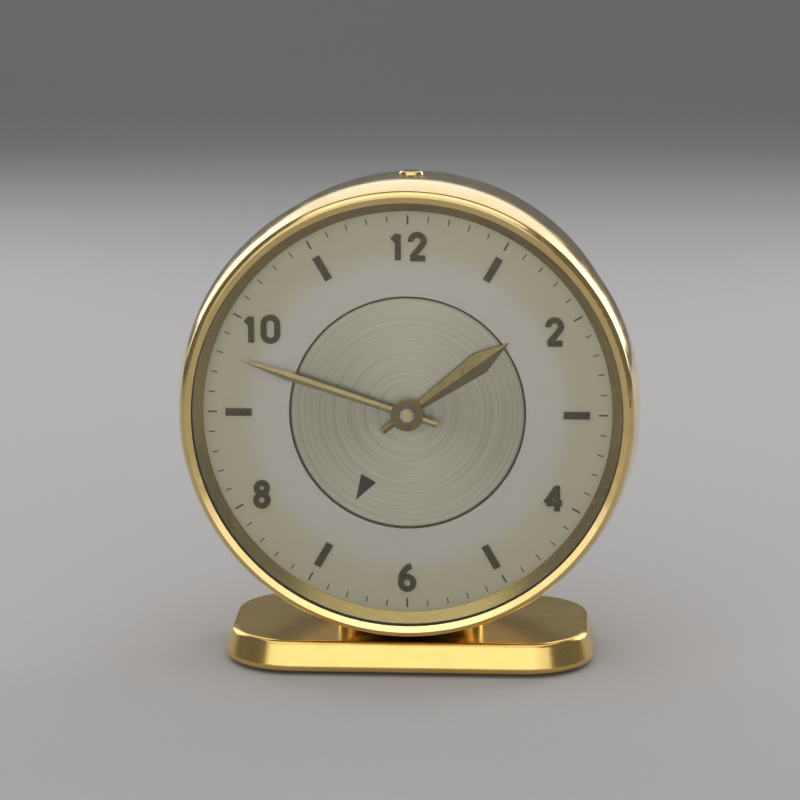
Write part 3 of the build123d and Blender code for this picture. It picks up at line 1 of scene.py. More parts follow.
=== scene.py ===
# %% [markdown]
# # A brass alarm clock on a flat foot
# The imported model already holds every rigid piece of the clock, from the bezel to the hairspring,
# each in its place and in metres. This lesson gives those pieces their finishes, makes the few
# pieces whose looks need a mesh of their own, and sets up a floor, soft lamps and a camera.
#
# We load the model first, because everything else is placed by it.

# %% Load the imported clock
import math

import bmesh
import bpy
from mathutils import Matrix, Vector, noise


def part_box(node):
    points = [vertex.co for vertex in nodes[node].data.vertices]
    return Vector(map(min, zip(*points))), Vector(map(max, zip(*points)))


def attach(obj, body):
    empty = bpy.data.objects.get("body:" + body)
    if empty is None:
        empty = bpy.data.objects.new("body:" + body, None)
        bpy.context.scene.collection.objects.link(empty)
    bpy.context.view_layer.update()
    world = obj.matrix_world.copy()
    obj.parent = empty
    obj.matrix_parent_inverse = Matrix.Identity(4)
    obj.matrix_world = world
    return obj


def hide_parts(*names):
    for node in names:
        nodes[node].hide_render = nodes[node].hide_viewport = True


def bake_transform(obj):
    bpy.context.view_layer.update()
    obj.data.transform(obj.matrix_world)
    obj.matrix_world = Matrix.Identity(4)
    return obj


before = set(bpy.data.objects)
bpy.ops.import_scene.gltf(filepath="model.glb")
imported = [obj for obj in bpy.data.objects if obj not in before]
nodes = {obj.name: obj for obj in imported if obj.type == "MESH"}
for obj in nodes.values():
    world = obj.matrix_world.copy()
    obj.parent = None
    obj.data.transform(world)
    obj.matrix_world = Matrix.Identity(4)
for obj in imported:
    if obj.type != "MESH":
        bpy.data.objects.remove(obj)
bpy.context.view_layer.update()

# %% [markdown]
# ## The dial frame
# A clockmaker measures from the middle of the dial: across, up and out towards the reader. The
# bezel's box gives the middle and the dial plate's front gives the face, so no number has to be
# typed in twice. Lengths below are in millimetres, and MM turns them into Blender's metres. Only the
# room, that is the paper, the lamps and the camera's distance, is in metres.

# %% Find the middle of the dial
MM = 0.001
bezel_low, bezel_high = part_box("bezel")
dial_low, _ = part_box("dial_plate")
dial_centre = Vector(((bezel_low.x + bezel_high.x) / 2, dial_low.y, (bezel_low.z + bezel_high.z) / 2))
# Local x stays across, local y goes up and local z comes out of the dial
on_dial = Matrix.Translation(dial_centre) @ Matrix.Rotation(math.radians(90), 4, "X")
print("dial centre", [round(1000 * part, 2) for part in dial_centre])

# %% [markdown]
# ## Shader maths as plain Python
# A material is a graph of nodes. Drawn by hand, a pattern such as sixty minute strokes takes dozens
# of Math nodes. A small class that wraps a socket and overloads the operators lets us write the
# pattern as a formula, and each operator adds its node. Colours don't go through Math nodes, which
# would turn them grey: a Mix node blends them.

# %% A socket that does arithmetic
def plug(entry, value):
    """Feeds a socket from another node's output or with a plain value."""
    if isinstance(value, Wire):
        entry.id_data.links.new(value.socket, entry)
    else:
        entry.default_value = value


class Wire:
    """One output of a shader node. Arithmetic on it adds Math nodes to the same tree."""

    def __init__(self, socket):
        self.socket = socket

    def math(self, operation, *terms):
        node = self.socket.id_data.nodes.new("ShaderNodeMath")
        node.operation = operation
        for entry, term in zip(node.inputs, terms):
            plug(entry, term)
        return Wire(node.outputs[0])

    def __add__(self, other):
        return self.math("ADD", self, other)

    def __radd__(self, other):
        return self.math("ADD", other, self)

    def __sub__(self, other):
        return self.math("SUBTRACT", self, other)

    def __rsub__(self, other):
        return self.math("SUBTRACT", other, self)

    def __mul__(self, other):
        return self.math("MULTIPLY", self, other)

    def __rmul__(self, other):
        return self.math("MULTIPLY", other, self)

    def __truediv__(self, other):
        return self.math("DIVIDE", self, other)

    def __lt__(self, other):
        return self.math("LESS_THAN", self, other)

    def __gt__(self, other):
        return self.math("GREATER_THAN", self, other)

    def __or__(self, other):
        return self.math("MAXIMUM", self, other)

    def __abs__(self):
        return self.math("ABSOLUTE", self)


# %% Formulas that are used more than once
def distance(across, up):
    """How far a point lies from the middle that across and up are counted from."""
    squares = across * across + up * up
    return squares.math("SQRT", squares)


def clockwise(across, up):
    """A point's angle from straight up, in radians."""
    return across.math("ARCTAN2", across, up)


def off_whole(value):
    """How far a value lies from the nearest whole number."""
    return abs(value.math("FRACT", value + 0.5) - 0.5)


# %% A finish being mixed
class Finish:
    """A material and its node tree, with one method that adds any node."""

    def __init__(self, name):
        self.material = bpy.data.materials.new(name)
        self.material.use_nodes = True
        self.tree = self.material.node_tree
        self.tree.nodes.clear()

    def add(self, kind, settings=None, sockets=None, out=0):
        """Adds a node, sets it, feeds its sockets and gives one of its outputs, if it has any."""
        node = self.tree.nodes.new("ShaderNode" + kind)
        for name, value in (settings or {}).items():
            setattr(node, name, value)
        for name, value in (sockets or {}).items():
            plug(node.inputs[name], value)
        return Wire(node.outputs[out]) if node.outputs else None

    def blend(self, share, first, second):
        """A colour between two colours; share 0 gives the first."""
        ends = [end if isinstance(end, Wire) else (*end, 1.0) for end in (first, second)]
        # A Mix node has sockets of one name for each kind of data, so colours go by number
        return self.add("Mix", {"data_type": "RGBA"}, {0: share, 6: ends[0], 7: ends[1]}, out=2)

    def ease(self, value, start, end):
        """0 before start, 1 after end and a soft rise between them."""
        return self.add("MapRange", {"interpolation_type": "SMOOTHSTEP"}, {0: value, 1: start, 2: end})

    def grain(self, place, scale, detail):
        """Cloudy noise from 0 to 1."""
        return self.add("TexNoise", sockets={"Vector": place, "Scale": scale, "Detail": detail})

    def join(self, across, up, out):
        """A vector from three numbers."""
        return self.add("CombineXYZ", sockets={0: across, 1: up, 2: out})

    def split(self, vector):
        """A vector's three numbers."""
        first = self.add("SeparateXYZ", sockets={0: vector})
        return [Wire(socket) for socket in first.socket.node.outputs]

    def surface(self, sockets, height, depth):
        """Ends the tree with a Principled shader; height is a bump pattern, depth its size in mm."""
        bump = self.add("Bump", sockets={"Strength": 1.0, "Distance": depth * MM, "Height": height})
        return self.end(self.add("BsdfPrincipled", sockets={**sockets, "Normal": bump}))

    def end(self, shader):
        """Ends the tree and gives the finished material."""
        self.add("OutputMaterial", sockets={"Surface": shader})
        return self.material


def dress(material, *names):
    """Gives CAD nodes a finish in place of the plain one they were packed with."""
    for name in names:
        for slot in nodes[name].material_slots:
            slot.material = material
    print(material.name, "on", ", ".join(names))


# %% [markdown]
# ## Where a point lies on the clock
# Object coordinates stay with a piece when it moves, so a printed stroke or a scratch can't slide.
# We shift them to the middle of the dial and scale them to millimetres. From there a point's radius
# and its minute, counted clockwise from twelve, are two more formulas. Pieces that we make ourselves
# have a frame of their own, so for them the scaling is enough.

# %% Dial coordinates in a shader
def in_millimetres(finish, vector):
    return finish.add("VectorMath", {"operation": "SCALE"}, {0: vector, "Scale": 1 / MM})


class Spot:
    """A shaded point in dial coordinates, in millimetres, with its radius and its minute."""

    def __init__(self, finish):
        place = finish.add("TexCoord", out="Object")
        shifted = finish.add("VectorMath", {"operation": "SUBTRACT"}, {0: place, 1: dial_centre})
        self.place = in_millimetres(finish, shifted)
        self.across, back, self.up = finish.split(self.place)
        self.out = 0.0 - back
        self.radius = distance(self.across, self.up)
        self.minute = clockwise(self.across, self.up) * (60 / math.tau)


def own_place(finish):
    """A shaded point in the frame of a piece of our own: across, up and out, in millimetres."""
    return finish.split(in_millimetres(finish, finish.add("TexCoord", out="Object")))


# %% [markdown]
# ## Polished brass
# The case, bezel and foot are polished and lacquered brass. What tells old polished brass from a
# gold-coloured mirror is the wear: hairline scratches that follow the polishing wheel, cloudy
# fingermarks that only change the gloss, and a browner tint where the lacquer has gone. The lacquer
# itself is a clear coat, which gives lamps a white glint over the yellow one of the metal. On turned
# pieces the hairlines run round the dial axis, so their noise is stretched along the minute. On the
# foot they run along its length.

# %% Brass, polished round or along
BRASS = (0.83, 0.62, 0.25)
OLD_BRASS = (0.56, 0.36, 0.11)
HAIRLINES_PER_MM = 9.0


def polished_brass(name, turned, tone=BRASS, gloss=0.13, age=0.25, wear=1.0, lacquer=0.8):
    finish = Finish(name)
    spot = Spot(finish)
    depth_lines = spot.out * HAIRLINES_PER_MM
    if turned:
        stretched = finish.join(spot.radius * HAIRLINES_PER_MM, spot.minute * 0.5, depth_lines)
    else:
        stretched = finish.join(spot.across * 0.12, spot.up * HAIRLINES_PER_MM, depth_lines)
    lines = finish.grain(stretched, scale=1.0, detail=2.0)
    worn = finish.ease(finish.grain(spot.place, scale=0.11, detail=4.0), 0.48, 0.72)
    hazy = finish.ease(finish.grain(spot.place, scale=0.45, detail=5.0), 0.4, 0.75) * wear
    specks = finish.ease(finish.grain(spot.place, scale=2.6, detail=2.0), 0.68, 0.76) * wear
    return finish.surface(
        {
            "Base Color": finish.blend(worn * age + specks * 0.3, tone, OLD_BRASS),
            "Metallic": 1.0,
            "Roughness": gloss + 0.09 * hazy + 0.07 * finish.ease(lines, 0.5, 0.8) + 0.2 * specks,
            "Coat Weight": lacquer - 0.6 * lacquer * worn,
            "Coat Roughness": 0.06,
        },
        height=lines,
        depth=0.004,
    )


dress(
    polished_brass("turned_brass", turned=True),
    "bezel", "case_body", "stop_button", "time_set_knob", "alarm_set_knob", "winding_key", "alarm_key",
)

# %% [markdown]
# ## The foot and the sloped ring
# The foot with its saddle, and the ring, take the same brass with other numbers. The foot is a deeper
# gold with little lacquer left, and softer, so its sloped front carries one broad light. The ring
# between dial and glass is matt, and its dark colour is painted shade, the shade inside the bezel.

# %% Foot and ring
foot_brass = polished_brass(
    "foot_brass", turned=False, tone=(0.8, 0.56, 0.18), gloss=0.2, wear=0.35, lacquer=0.15
)
# The ring's dark tone is painted shade: it stands for the shade that falls inside the bezel.
ring_brass_painted_shade = polished_brass(
    "ring_brass_painted_shade", turned=True, tone=(0.42, 0.32, 0.11), gloss=0.24, age=0.1, wear=0.2, lacquer=0.1
)
dress(foot_brass, "base_plate", "base_saddle")
dress(ring_brass_painted_shade, "rehaut_ring")

# %% [markdown]
# ## The engraved back cover
# The cover was rubbed with emery on a turntable, which leaves circular lines and a softer gloss. It is
# engraved: an arrow under each key shows which way to wind, and five strokes by the slot are the
# scale of the rate lever. Such shallow marks need no geometry. Each is a mask made from a distance
# and an angle about a point, which paints the shade of a cut into the colour and lowers the bump.

# %% Draw the marks
def middle_of(node):
    """A node's middle in dial coordinates, across and up, in millimetres."""
    low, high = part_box(node)
    middle = ((low + high) / 2 - dial_centre) / MM
    return middle.x, middle.z


def about(spot, middle, facing):
    """A point's distance from a middle, and its angle in degrees from up (1) or from down (-1)."""
    across, up = spot.across - middle[0], spot.up - middle[1]
    return distance(across, up), clockwise(across, up * facing) * (360 / math.tau)


def winding_arrow(spot, key, radius=9.4, half_line=0.22, reach=46.0, head=13.0, half_head=1.3):
    """A bent arrow below a key: its line reaches so many degrees each way, and its head follows."""
    from_key, angle = about(spot, middle_of(key), -1)
    away = abs(from_key - radius)
    shaft = (away < half_line) * (abs(angle) < reach)
    tip = (away < (reach + head - angle) * (half_head / head)) * (angle > reach) * (angle < reach + head)
    return shaft | tip


def rate_strokes(spot, staff, start=6.9, end=8.3, half_line=0.16, aim=-50.0, step=10.0, steps=2.4):
    """Strokes along the radius, so many degrees apart, each side of the angle that they aim at."""
    radius, angle = about(spot, middle_of(staff), 1)
    turn = (angle - aim) / step
    away = off_whole(turn) * step * (math.tau / 360)
    return (away * radius < half_line) * (radius > start) * (radius < end) * (abs(turn) < steps)


# %% Rub and engrave the cover
RUBBED_BRASS = (0.78, 0.57, 0.23)
# The near-black colour of the cuts is painted shade, the shade inside an engraved line.
CUT_SHADE = (0.06, 0.04, 0.015)


def engraved_brass(name):
    finish = Finish(name)
    spot = Spot(finish)
    stretched = finish.join(spot.radius * 5.0, spot.minute * 0.3, 0.0)
    lines = finish.grain(stretched, scale=1.0, detail=3.0)
    worn = finish.ease(finish.grain(spot.place, scale=0.12, detail=4.0), 0.48, 0.72)
    arrows = winding_arrow(spot, "winding_key") | winding_arrow(spot, "alarm_key")
    cuts = arrows | rate_strokes(spot, "balance_staff")
    metal = finish.blend(worn * 0.3 + lines * 0.35, RUBBED_BRASS, OLD_BRASS)
    return finish.surface(
        {
            "Base Color": finish.blend(cuts * 0.85, metal, CUT_SHADE),
            "Metallic": 1.0,
            "Roughness": 0.26 + 0.2 * lines + 0.25 * cuts,
        },
        height=lines * 0.25 - cuts,
        depth=0.05,
    )


dress(engraved_brass("engraved_brass"), "back_cover")

# %% [markdown]
# ## Gilt numerals painted dark
# The raised numerals and batons are gilt whose colour is painted nearly as dark as ink, a painted
# reflection of the dark room that polished gilt shows. A fine even grain keeps them from looking
# painted. Stamped edges are a little round, which a narrow bevel shows as a thin line of light; a
# modifier may be added to a imported piece, because it leaves the mesh alone. Keys and button get one
# too.

# %% Gilt
def grained_gilt(name, bright, dull):
    finish = Finish(name)
    spot = Spot(finish)
    patches = finish.ease(finish.grain(spot.place, scale=1.1, detail=4.0), 0.35, 0.7)
    fine = finish.grain(spot.place, scale=14.0, detail=2.0)
    return finish.surface(
        {
            "Base Color": finish.blend(patches * 0.6 + fine * 0.3, bright, dull),
            "Metallic": 1.0,
            "Roughness": 0.24 + 0.1 * patches + 0.06 * fine,
        },
        height=fine,
        depth=0.004,
    )


# The numerals' near-black gilt is a painted reflection of a dark room.
numeral_gilt_painted_dark = grained_gilt("numeral_gilt_painted_dark", bright=(0.1, 0.078, 0.034), dull=(0.05, 0.04, 0.018))
dress(numeral_gilt_painted_dark, "hour_markers")


# %% Round the stamped edges
def round_edges(width, *names):
    """Rounds a stamped piece's sharp edges by a width in millimetres."""
    for name in names:
        bevel = nodes[name].modifiers.new("round_edges", "BEVEL")
        bevel.width = width * MM
        bevel.segments = 2
        bevel.limit_method = "ANGLE"
        bevel.angle_limit = math.radians(50)
    print("rounded", width, "mm on", ", ".join(names))


round_edges(0.07, "hour_markers")
round_edges(0.15, "winding_key", "alarm_key", "stop_button")

# %% [markdown]
# ## Hands with a crease
# Stamped hands are creased along the middle, so that one half is light where the other is dark. The
# packed hands are flat, so we fold our own on the same outline and let them stand for the packed
# ones. The crease gets lower where the hand gets narrower, because both halves are flat. A hub is a
# turned ring: a profile spun about the dial axis. Both kinds of mesh end in the same helper, which
# keeps creases sharp and everything else smooth.

# %% Mesh helpers
def make_piece(name, mesh, place, crease=20.0):
    """Turns a bmesh into an object at its place, with edges sharp from the crease angle in degrees."""
    bmesh.ops.recalc_face_normals(mesh, faces=mesh.faces)
    for face in mesh.faces:
        face.smooth = True
    for edge in mesh.edges:
        edge.smooth = edge.calc_face_angle(0.0) < math.radians(crease)
    data = bpy.data.meshes.new(name)
    mesh.to_mesh(data)
    mesh.free()
    piece = bpy.data.objects.new(name, data)
    bpy.context.scene.collection.objects.link(piece)
    piece.matrix_world = place
    print(name, len(data.vertices), "points")
    return piece


def close_rings(mesh, rings):
    """Joins rings of points, each to the next, with four-sided faces."""
    for here, after in zip(rings, rings[1:]):
        for point in range(len(here)):
            beyond = (point + 1) % len(here)
            mesh.faces.new((here[point], here[beyond], after[beyond], after[point]))


def lathe(name, profile, sides=160):
    """Spins (radius, out) points in millimetres about the dial axis into a closed ring."""
    mesh = bmesh.new()
    rings = []
    for side in range(sides):
        turn = side * math.tau / sides
        across, up = math.cos(turn) * MM, math.sin(turn) * MM
        rings.append([mesh.verts.new((radius * across, radius * up, out * MM)) for radius, out in profile])
    close_rings(mesh, rings + rings[:1])
    return make_piece(name, mesh, on_dial)


# %% [markdown]
# One half of a hand is rubbed satin and the other polished, which makers do to make the crease plain;
# the satin half's darker colour is painted shade. The hand's own frame has its crease at zero across,
# so the sign of across tells the halves apart. Both gilts are painted dark as a painted reflection of a
# dark room, and the broad hand and the hubs are painted darker than the thin hand.

# %% Gilt for the hands
def rubbed_gilt(name, bright, dull):
    finish = Finish(name)
    across, along, out = own_place(finish)
    lines = finish.grain(finish.join(across * 16.0, along * 0.5, out * 9.0), scale=1.0, detail=3.0)
    clouds = finish.grain(finish.join(across, along, out), scale=0.9, detail=4.0)
    patches = finish.ease(clouds, 0.35, 0.7)
    satin = across > 0.0
    return finish.surface(
        {
            # satin also darkens one half's colour: painted shade on that half
            "Base Color": finish.blend(patches * 0.2 + lines * 0.3 + satin * 0.3, bright, dull),
            "Metallic": 1.0,
            "Roughness": 0.16 + 0.12 * lines + 0.06 * patches + 0.2 * satin,
        },
        height=lines,
        depth=0.004,
    )


# Both gilts are painted dark: a painted reflection of a dark room
painted_dark_gilt = rubbed_gilt("painted_dark_gilt", bright=(0.26, 0.19, 0.07), dull=(0.1, 0.075, 0.03))
pale_gilt = rubbed_gilt("pale_gilt", bright=(0.46, 0.37, 0.18), dull=(0.28, 0.21, 0.09))
print("made", painted_dark_gilt.name, "and", pale_gilt.name)

# %% Fold the hands
HAND_TAIL = 5.0
HAND_ROOT = 1.0
HAND_TIP = 0.06
HAND_EDGE = 0.03
HAND_CREST = 0.29
HUB_RADIUS = 2.6


def turn_hub(name, bore, low, top, shoulder=(0.15, 0.08), broken=(0.1, 0.05)):
    """A ring with a sloped shoulder and a broken edge at its bore, each so wide and so deep."""
    return lathe(
        name,
        [
            (bore, low),
            (HUB_RADIUS, low),
            (HUB_RADIUS, top - shoulder[1]),
            (HUB_RADIUS - shoulder[0], top),
            (bore + broken[0], top),
            (bore, top - broken[1]),
        ],
    )


def creased_hand(node, gilt, length, point, width, bore, clock_angle):
    """A hand that widens from its hub, then runs to a point, folded along its middle."""
    low = (dial_centre.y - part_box(node)[1].y) / MM
    steepness = (HAND_CREST - HAND_EDGE) / (width / 2)
    mesh = bmesh.new()
    rings = []
    stations = [(-HAND_TAIL, HAND_ROOT), (0, HAND_ROOT), (length - point, width), (length, HAND_TIP)]
    for along, wide in stations:
        half = wide / 2
        crest = HAND_EDGE + half * steepness
        section = [(-half, 0), (-half, HAND_EDGE), (0, crest), (half, HAND_EDGE), (half, 0)]
        rings.append([mesh.verts.new(Vector((across, along, low + out)) * MM) for across, out in section])
    close_rings(mesh, rings)
    mesh.faces.new(rings[0])
    mesh.faces.new(rings[-1])
    turned = on_dial @ Matrix.Rotation(-math.radians(clock_angle), 4, "Z")
    hand = make_piece("creased_" + node, mesh, turned, crease=6.0)
    hub = turn_hub(node + "_hub", bore, low, low + HAND_CREST)
    hub.parent = hand
    hub.matrix_world = on_dial
    for piece, gilding in ((hand, gilt), (hub, painted_dark_gilt)):
        piece.data.materials.append(gilding)
    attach(hand, node + "_group")
    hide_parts(node)


creased_hand("hour_hand", painted_dark_gilt, length=20.0, point=5.6, width=3.6, bore=1.77, clock_angle=54.0)
creased_hand("minute_hand", pale_gilt, length=28.5, point=8.0, width=1.4, bore=1.17, clock_angle=288.0)

# %% [markdown]
# ## The silvered dial
# A silvered dial is brass rubbed with silver salts: a satin metal, warmer towards its rim. The inner
# zone, next to the alarm disc, is paler, and the very edge of the dial is painted darker as painted
# shade from the bezel. The sixty minute strokes near the rim are printed. They could be thin solids,
# but print has no height, so they are a mask in the colour: the distance from the nearest whole
# minute, times the radius, is the distance from a stroke in millimetres. The mask holds for the front
# only, because the back of a dial is bare.

# %% Print the minute track
TRACK_RADIUS = 32.2


def strokes(spot, every, length, half_line):
    """1 on strokes at every so many minutes, which run inwards from the track's radius."""
    away = off_whole(spot.minute / every) * every * spot.radius * (math.tau / 60)
    return (away < half_line) * (spot.radius > TRACK_RADIUS - length) * (spot.radius < TRACK_RADIUS)


def minute_track(spot):
    minutes = strokes(spot, every=1.0, length=1.0, half_line=0.1)
    fives = strokes(spot, every=5.0, length=1.5, half_line=0.15)
    front = spot.out > -0.1
    return (minutes | fives) * front


# %% Satin silver
SILVER = (0.54, 0.505, 0.465)
WARM_SILVER = (0.48, 0.435, 0.29)
# Tarnish for the specks, and painted shade for the rim under the bezel
TARNISH_AND_RIM_SHADE = (0.3, 0.24, 0.14)
PRINT = (0.035, 0.03, 0.022)


def silvered_dial(name):
    finish = Finish(name)
    spot = Spot(finish)
    yellow = finish.ease(spot.radius, start=23.0, end=28.0)
    rim = finish.ease(spot.radius, start=31.5, end=33.5)
    clouds = finish.grain(spot.place, scale=0.16, detail=4.0)
    fine = finish.grain(spot.place, scale=9.0, detail=3.0)
    specks = finish.ease(finish.grain(spot.place, scale=1.7, detail=1.0), 0.7, 0.78)
    plain = finish.blend(yellow * 0.75 + clouds * 0.25, SILVER, WARM_SILVER)
    # Specks are tarnish; the darkening at the rim is painted shade that the bezel casts on the dial's
    # edge.
    tarnished_and_shaded = finish.blend(specks * 0.3 + rim * 0.3, plain, TARNISH_AND_RIM_SHADE)
    ink = minute_track(spot)
    return finish.surface(
        {
            "Base Color": finish.blend(ink, tarnished_and_shaded, PRINT),
            "Metallic": 0.75 - 0.75 * ink,
            "Roughness": 0.4 + 0.1 * fine + 0.1 * clouds + 0.2 * ink,
        },
        height=fine,
        depth=0.006,
    )


dress(silvered_dial("silvered_dial"), "dial_plate")

# %% [markdown]
# ## The brushed alarm disc
# The disc in the middle turns to set the alarm. It was brushed in circles, and such a face spreads
# light along the radius only: it shows bright fans towards the lamp and dark ones across it. Cycles
# has that as anisotropy, which spreads light round an object's own z axis unless it is rotated by a
# quarter turn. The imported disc's z axis points up the clock, so we turn a disc of our own whose z axis
# is the dial's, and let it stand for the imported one.

# %% Turn the disc from a profile
DISC_FACE = -0.4
DISC_BACK = -0.9
DISC_BORE = 1.82
DISC_EDGE = 0.08
disc_low, disc_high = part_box("alarm_disc")
disc_radius = (disc_high.x - disc_low.x) / 2 / MM
alarm_disc = lathe(
    "brushed_alarm_disc",
    [
        (DISC_BORE, DISC_BACK),
        (disc_radius, DISC_BACK),
        (disc_radius, DISC_FACE - DISC_EDGE),
        (disc_radius - DISC_EDGE, DISC_FACE),
        (DISC_BORE + DISC_EDGE, DISC_FACE),
        (DISC_BORE, DISC_FACE - DISC_EDGE),
    ],
)

# %% [markdown]
# The brush lines are a noise that changes fast along the radius and slowly round it. They vary the
# gloss and carry a shallow bump. The amount of anisotropy is one number for the whole disc, so it is
# set on the shader's own socket.

# %% Brushed finish
BRUSHED_LIGHT = (0.6, 0.57, 0.46)
BRUSHED_DARK = (0.36, 0.335, 0.24)
# Painted shade for the disc's sunk edge
DISC_RIM_SHADE = (0.2, 0.17, 0.11)


def brushed_silver(name):
    finish = Finish(name)
    across, up, _ = own_place(finish)
    radius, turn = distance(across, up), clockwise(across, up)
    lines = finish.grain(finish.join(radius * 4.5, turn * 0.3, 0.0), scale=1.0, detail=4.0)
    broad = finish.grain(finish.join(radius * 1.3, turn * 0.2, 3.0), scale=1.0, detail=2.0)
    shade = finish.ease(lines, 0.3, 0.7) * 0.5 + broad * 0.4
    face = finish.blend(shade, BRUSHED_LIGHT, BRUSHED_DARK)
    rim = finish.ease(radius, disc_radius - 0.5, disc_radius)
    return finish.surface(
        {
            # The darker edge is painted shade where the disc sits sunk below the dial.
            "Base Color": finish.blend(rim * 0.5, face, DISC_RIM_SHADE),
            "Metallic": 0.9,
            "Roughness": 0.26 + 0.2 * lines,
            "Anisotropic": 0.8,
            "Anisotropic Rotation": 0.25,
        },
        height=lines,
        depth=0.01,
    )


alarm_disc.data.materials.append(brushed_silver("brushed_silver"))
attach(alarm_disc, "alarm_disc_group")
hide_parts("alarm_disc")
print("brushed the disc, radius", round(disc_radius, 2), "mm")

# %% [markdown]
# ## The alarm mark
# A dark arrowhead on the disc shows the hour of the alarm. It is a flat stamping, so it is built from
# its three corners at two heights, and its edges are rounded to catch a little light. It is a child
# of the disc, which makes it turn with it.

# %% Stamp the arrowhead
MARK_ROUND = 0.05
MARK_SUNK = 0.05
MARK_RISE = 0.15


def arrowhead(name, radius, clock_angle, length, width, low, high):
    """A flat three-cornered stamping that points away from the middle of the dial."""
    mesh = bmesh.new()
    tail, tip = radius - length / 2, radius + length / 2
    turn = Matrix.Rotation(-math.radians(clock_angle), 4, "Z")
    corners = [(-width / 2, tail), (0, tip), (width / 2, tail)]
    bottom, top = [
        [mesh.verts.new(turn @ Vector((x, y, height)) * MM) for x, y in corners] for height in (low, high)
    ]
    mesh.faces.new(bottom)
    mesh.faces.new(top)
    close_rings(mesh, [bottom, top])
    edges = mesh.edges[:]
    bmesh.ops.bevel(mesh, geom=edges, offset=MARK_ROUND * MM, segments=2, profile=0.5, affect="EDGES")
    return make_piece(name, mesh, on_dial)


# %% Lacquer the arrowhead
LACQUER = (0.022, 0.019, 0.01)
WORN_LACQUER = (0.09, 0.07, 0.035)


def dark_lacquer(name):
    finish = Finish(name)
    spot = Spot(finish)
    worn = finish.ease(finish.grain(spot.place, scale=1.8, detail=4.0), 0.55, 0.7)
    return finish.surface(
        {
            "Base Color": finish.blend(worn * 0.5, LACQUER, WORN_LACQUER),
            "Roughness": 0.5 + 0.25 * worn,
            "Specular IOR Level": 0.25,
        },
        height=worn,
        depth=0.004,
    )


alarm_mark = arrowhead(
    "alarm_mark",
    radius=14.6,
    clock_angle=210.0,
    length=4.2,
    width=2.8,
    low=DISC_FACE - MARK_SUNK,
    high=DISC_FACE + MARK_RISE,
)
alarm_mark.data.materials.append(dark_lacquer("dark_lacquer"))
alarm_mark.parent = alarm_disc
alarm_mark.matrix_world = on_dial

# %% [markdown]
# ## The glass
# Glass in a path tracer shades what is behind it, because lamps are not found through a bent path. A
# flat pane doesn't bend much, so rays that look for lamps pass straight through a Transparent shader,
# and all other rays meet real glass with its reflections. Wipe marks are a faint change of gloss.

# %% Crystal
def clear_glass(name):
    finish = Finish(name)
    spot = Spot(finish)
    wiped = finish.ease(finish.grain(spot.place, scale=0.2, detail=5.0), 0.5, 0.8)
    glass = finish.add(
        "BsdfPrincipled",
        sockets={
            "Base Color": (0.97, 0.98, 0.97, 1.0),
            "Roughness": 0.004 * wiped,
            "IOR": 1.5,
            "Transmission Weight": 1.0,
        },
    )
    clear = finish.add("BsdfTransparent", sockets={"Color": (0.96, 0.97, 0.96, 1.0)})
    lamp_ray = finish.add("LightPath", out="Is Shadow Ray")
    return finish.end(finish.add("MixShader", sockets={0: lamp_ray, 1: glass, 2: clear}))


dress(clear_glass("crystal_glass"), "crystal")

# %% [markdown]
# ## Steel, movement brass and rubber
# Inside the case the steel pieces are polished, and plates and wheels are frosted brass. Little of it
# shows, but a reader may open the model, so each finish still has its grain: short straight strokes on
# steel, a fine frost on the brass and a matte, faintly pitted rubber for the gasket.

# %% Inner finishes
STEEL, GREY_STEEL = (0.53, 0.53, 0.54), (0.42, 0.41, 0.41)
FROSTED_LIGHT, FROSTED_DARK = (0.74, 0.56, 0.25), (0.6, 0.42, 0.16)
RUBBER, DUSTY_RUBBER = (0.018, 0.018, 0.018), (0.045, 0.043, 0.04)


def polished_steel(name):
    finish = Finish(name)
    spot = Spot(finish)
    stretched = finish.join(spot.across * 2.0, spot.up * 14.0, spot.out * 14.0)
    lines = finish.grain(stretched, scale=1.0, detail=2.0)
    tint = finish.ease(finish.grain(spot.place, scale=0.3, detail=3.0), 0.4, 0.7)
    colour = finish.blend(tint, STEEL, GREY_STEEL)
    sockets = {"Base Color": colour, "Metallic": 1.0, "Roughness": 0.18 + 0.16 * lines}
    return finish.surface(sockets, height=lines, depth=0.003)


def frosted_brass(name):
    finish = Finish(name)
    spot = Spot(finish)
    frost = finish.grain(spot.place, scale=7.0, detail=4.0)
    tint = finish.ease(finish.grain(spot.place, scale=0.18, detail=3.0), 0.4, 0.7)
    colour = finish.blend(tint, FROSTED_LIGHT, FROSTED_DARK)
    sockets = {"Base Color": colour, "Metallic": 1.0, "Roughness": 0.34 + 0.14 * frost}
    return finish.surface(sockets, height=frost, depth=0.012)


def matte_rubber(name):
    finish = Finish(name)
    spot = Spot(finish)
    pits = finish.grain(spot.place, scale=5.0, detail=3.0)
    colour = finish.blend(pits, RUBBER, DUSTY_RUBBER)
    return finish.surface({"Base Color": colour, "Roughness": 0.7 + 0.2 * pits}, height=pits, depth=0.02)


# %% Dress the movement
steel = polished_steel("polished_steel")
dress(
    steel,
    "saddle_screws", "back_cover_screws", "movement_screws", "cannon_pinion", "time_set_arbor",
    "alarm_set_arbor", "escape_wheel", "pallet_lever", "balance_staff", "hairspring", "regulator_index",
    "mainspring", "alarm_mainspring", "barrel_arbor", "alarm_barrel_arbor", "ratchet_wheel",
    "alarm_ratchet_wheel", "time_click", "alarm_click", "strike_wheel", "gong_stud", "hammer",
)
dress(
    frosted_brass("frosted_brass"),
    "movement_ring", "front_plate", "back_plate", "plate_pillars", "balance_cock", "balance_wheel",
    "minute_wheel", "hour_wheel", "alarm_wheel", "centre_wheel", "intermediate_wheel", "third_wheel",
    "fourth_wheel", "barrel", "barrel_cover", "alarm_barrel", "alarm_barrel_cover",
)
dress(matte_rubber("matte_rubber"), "crystal_gasket")

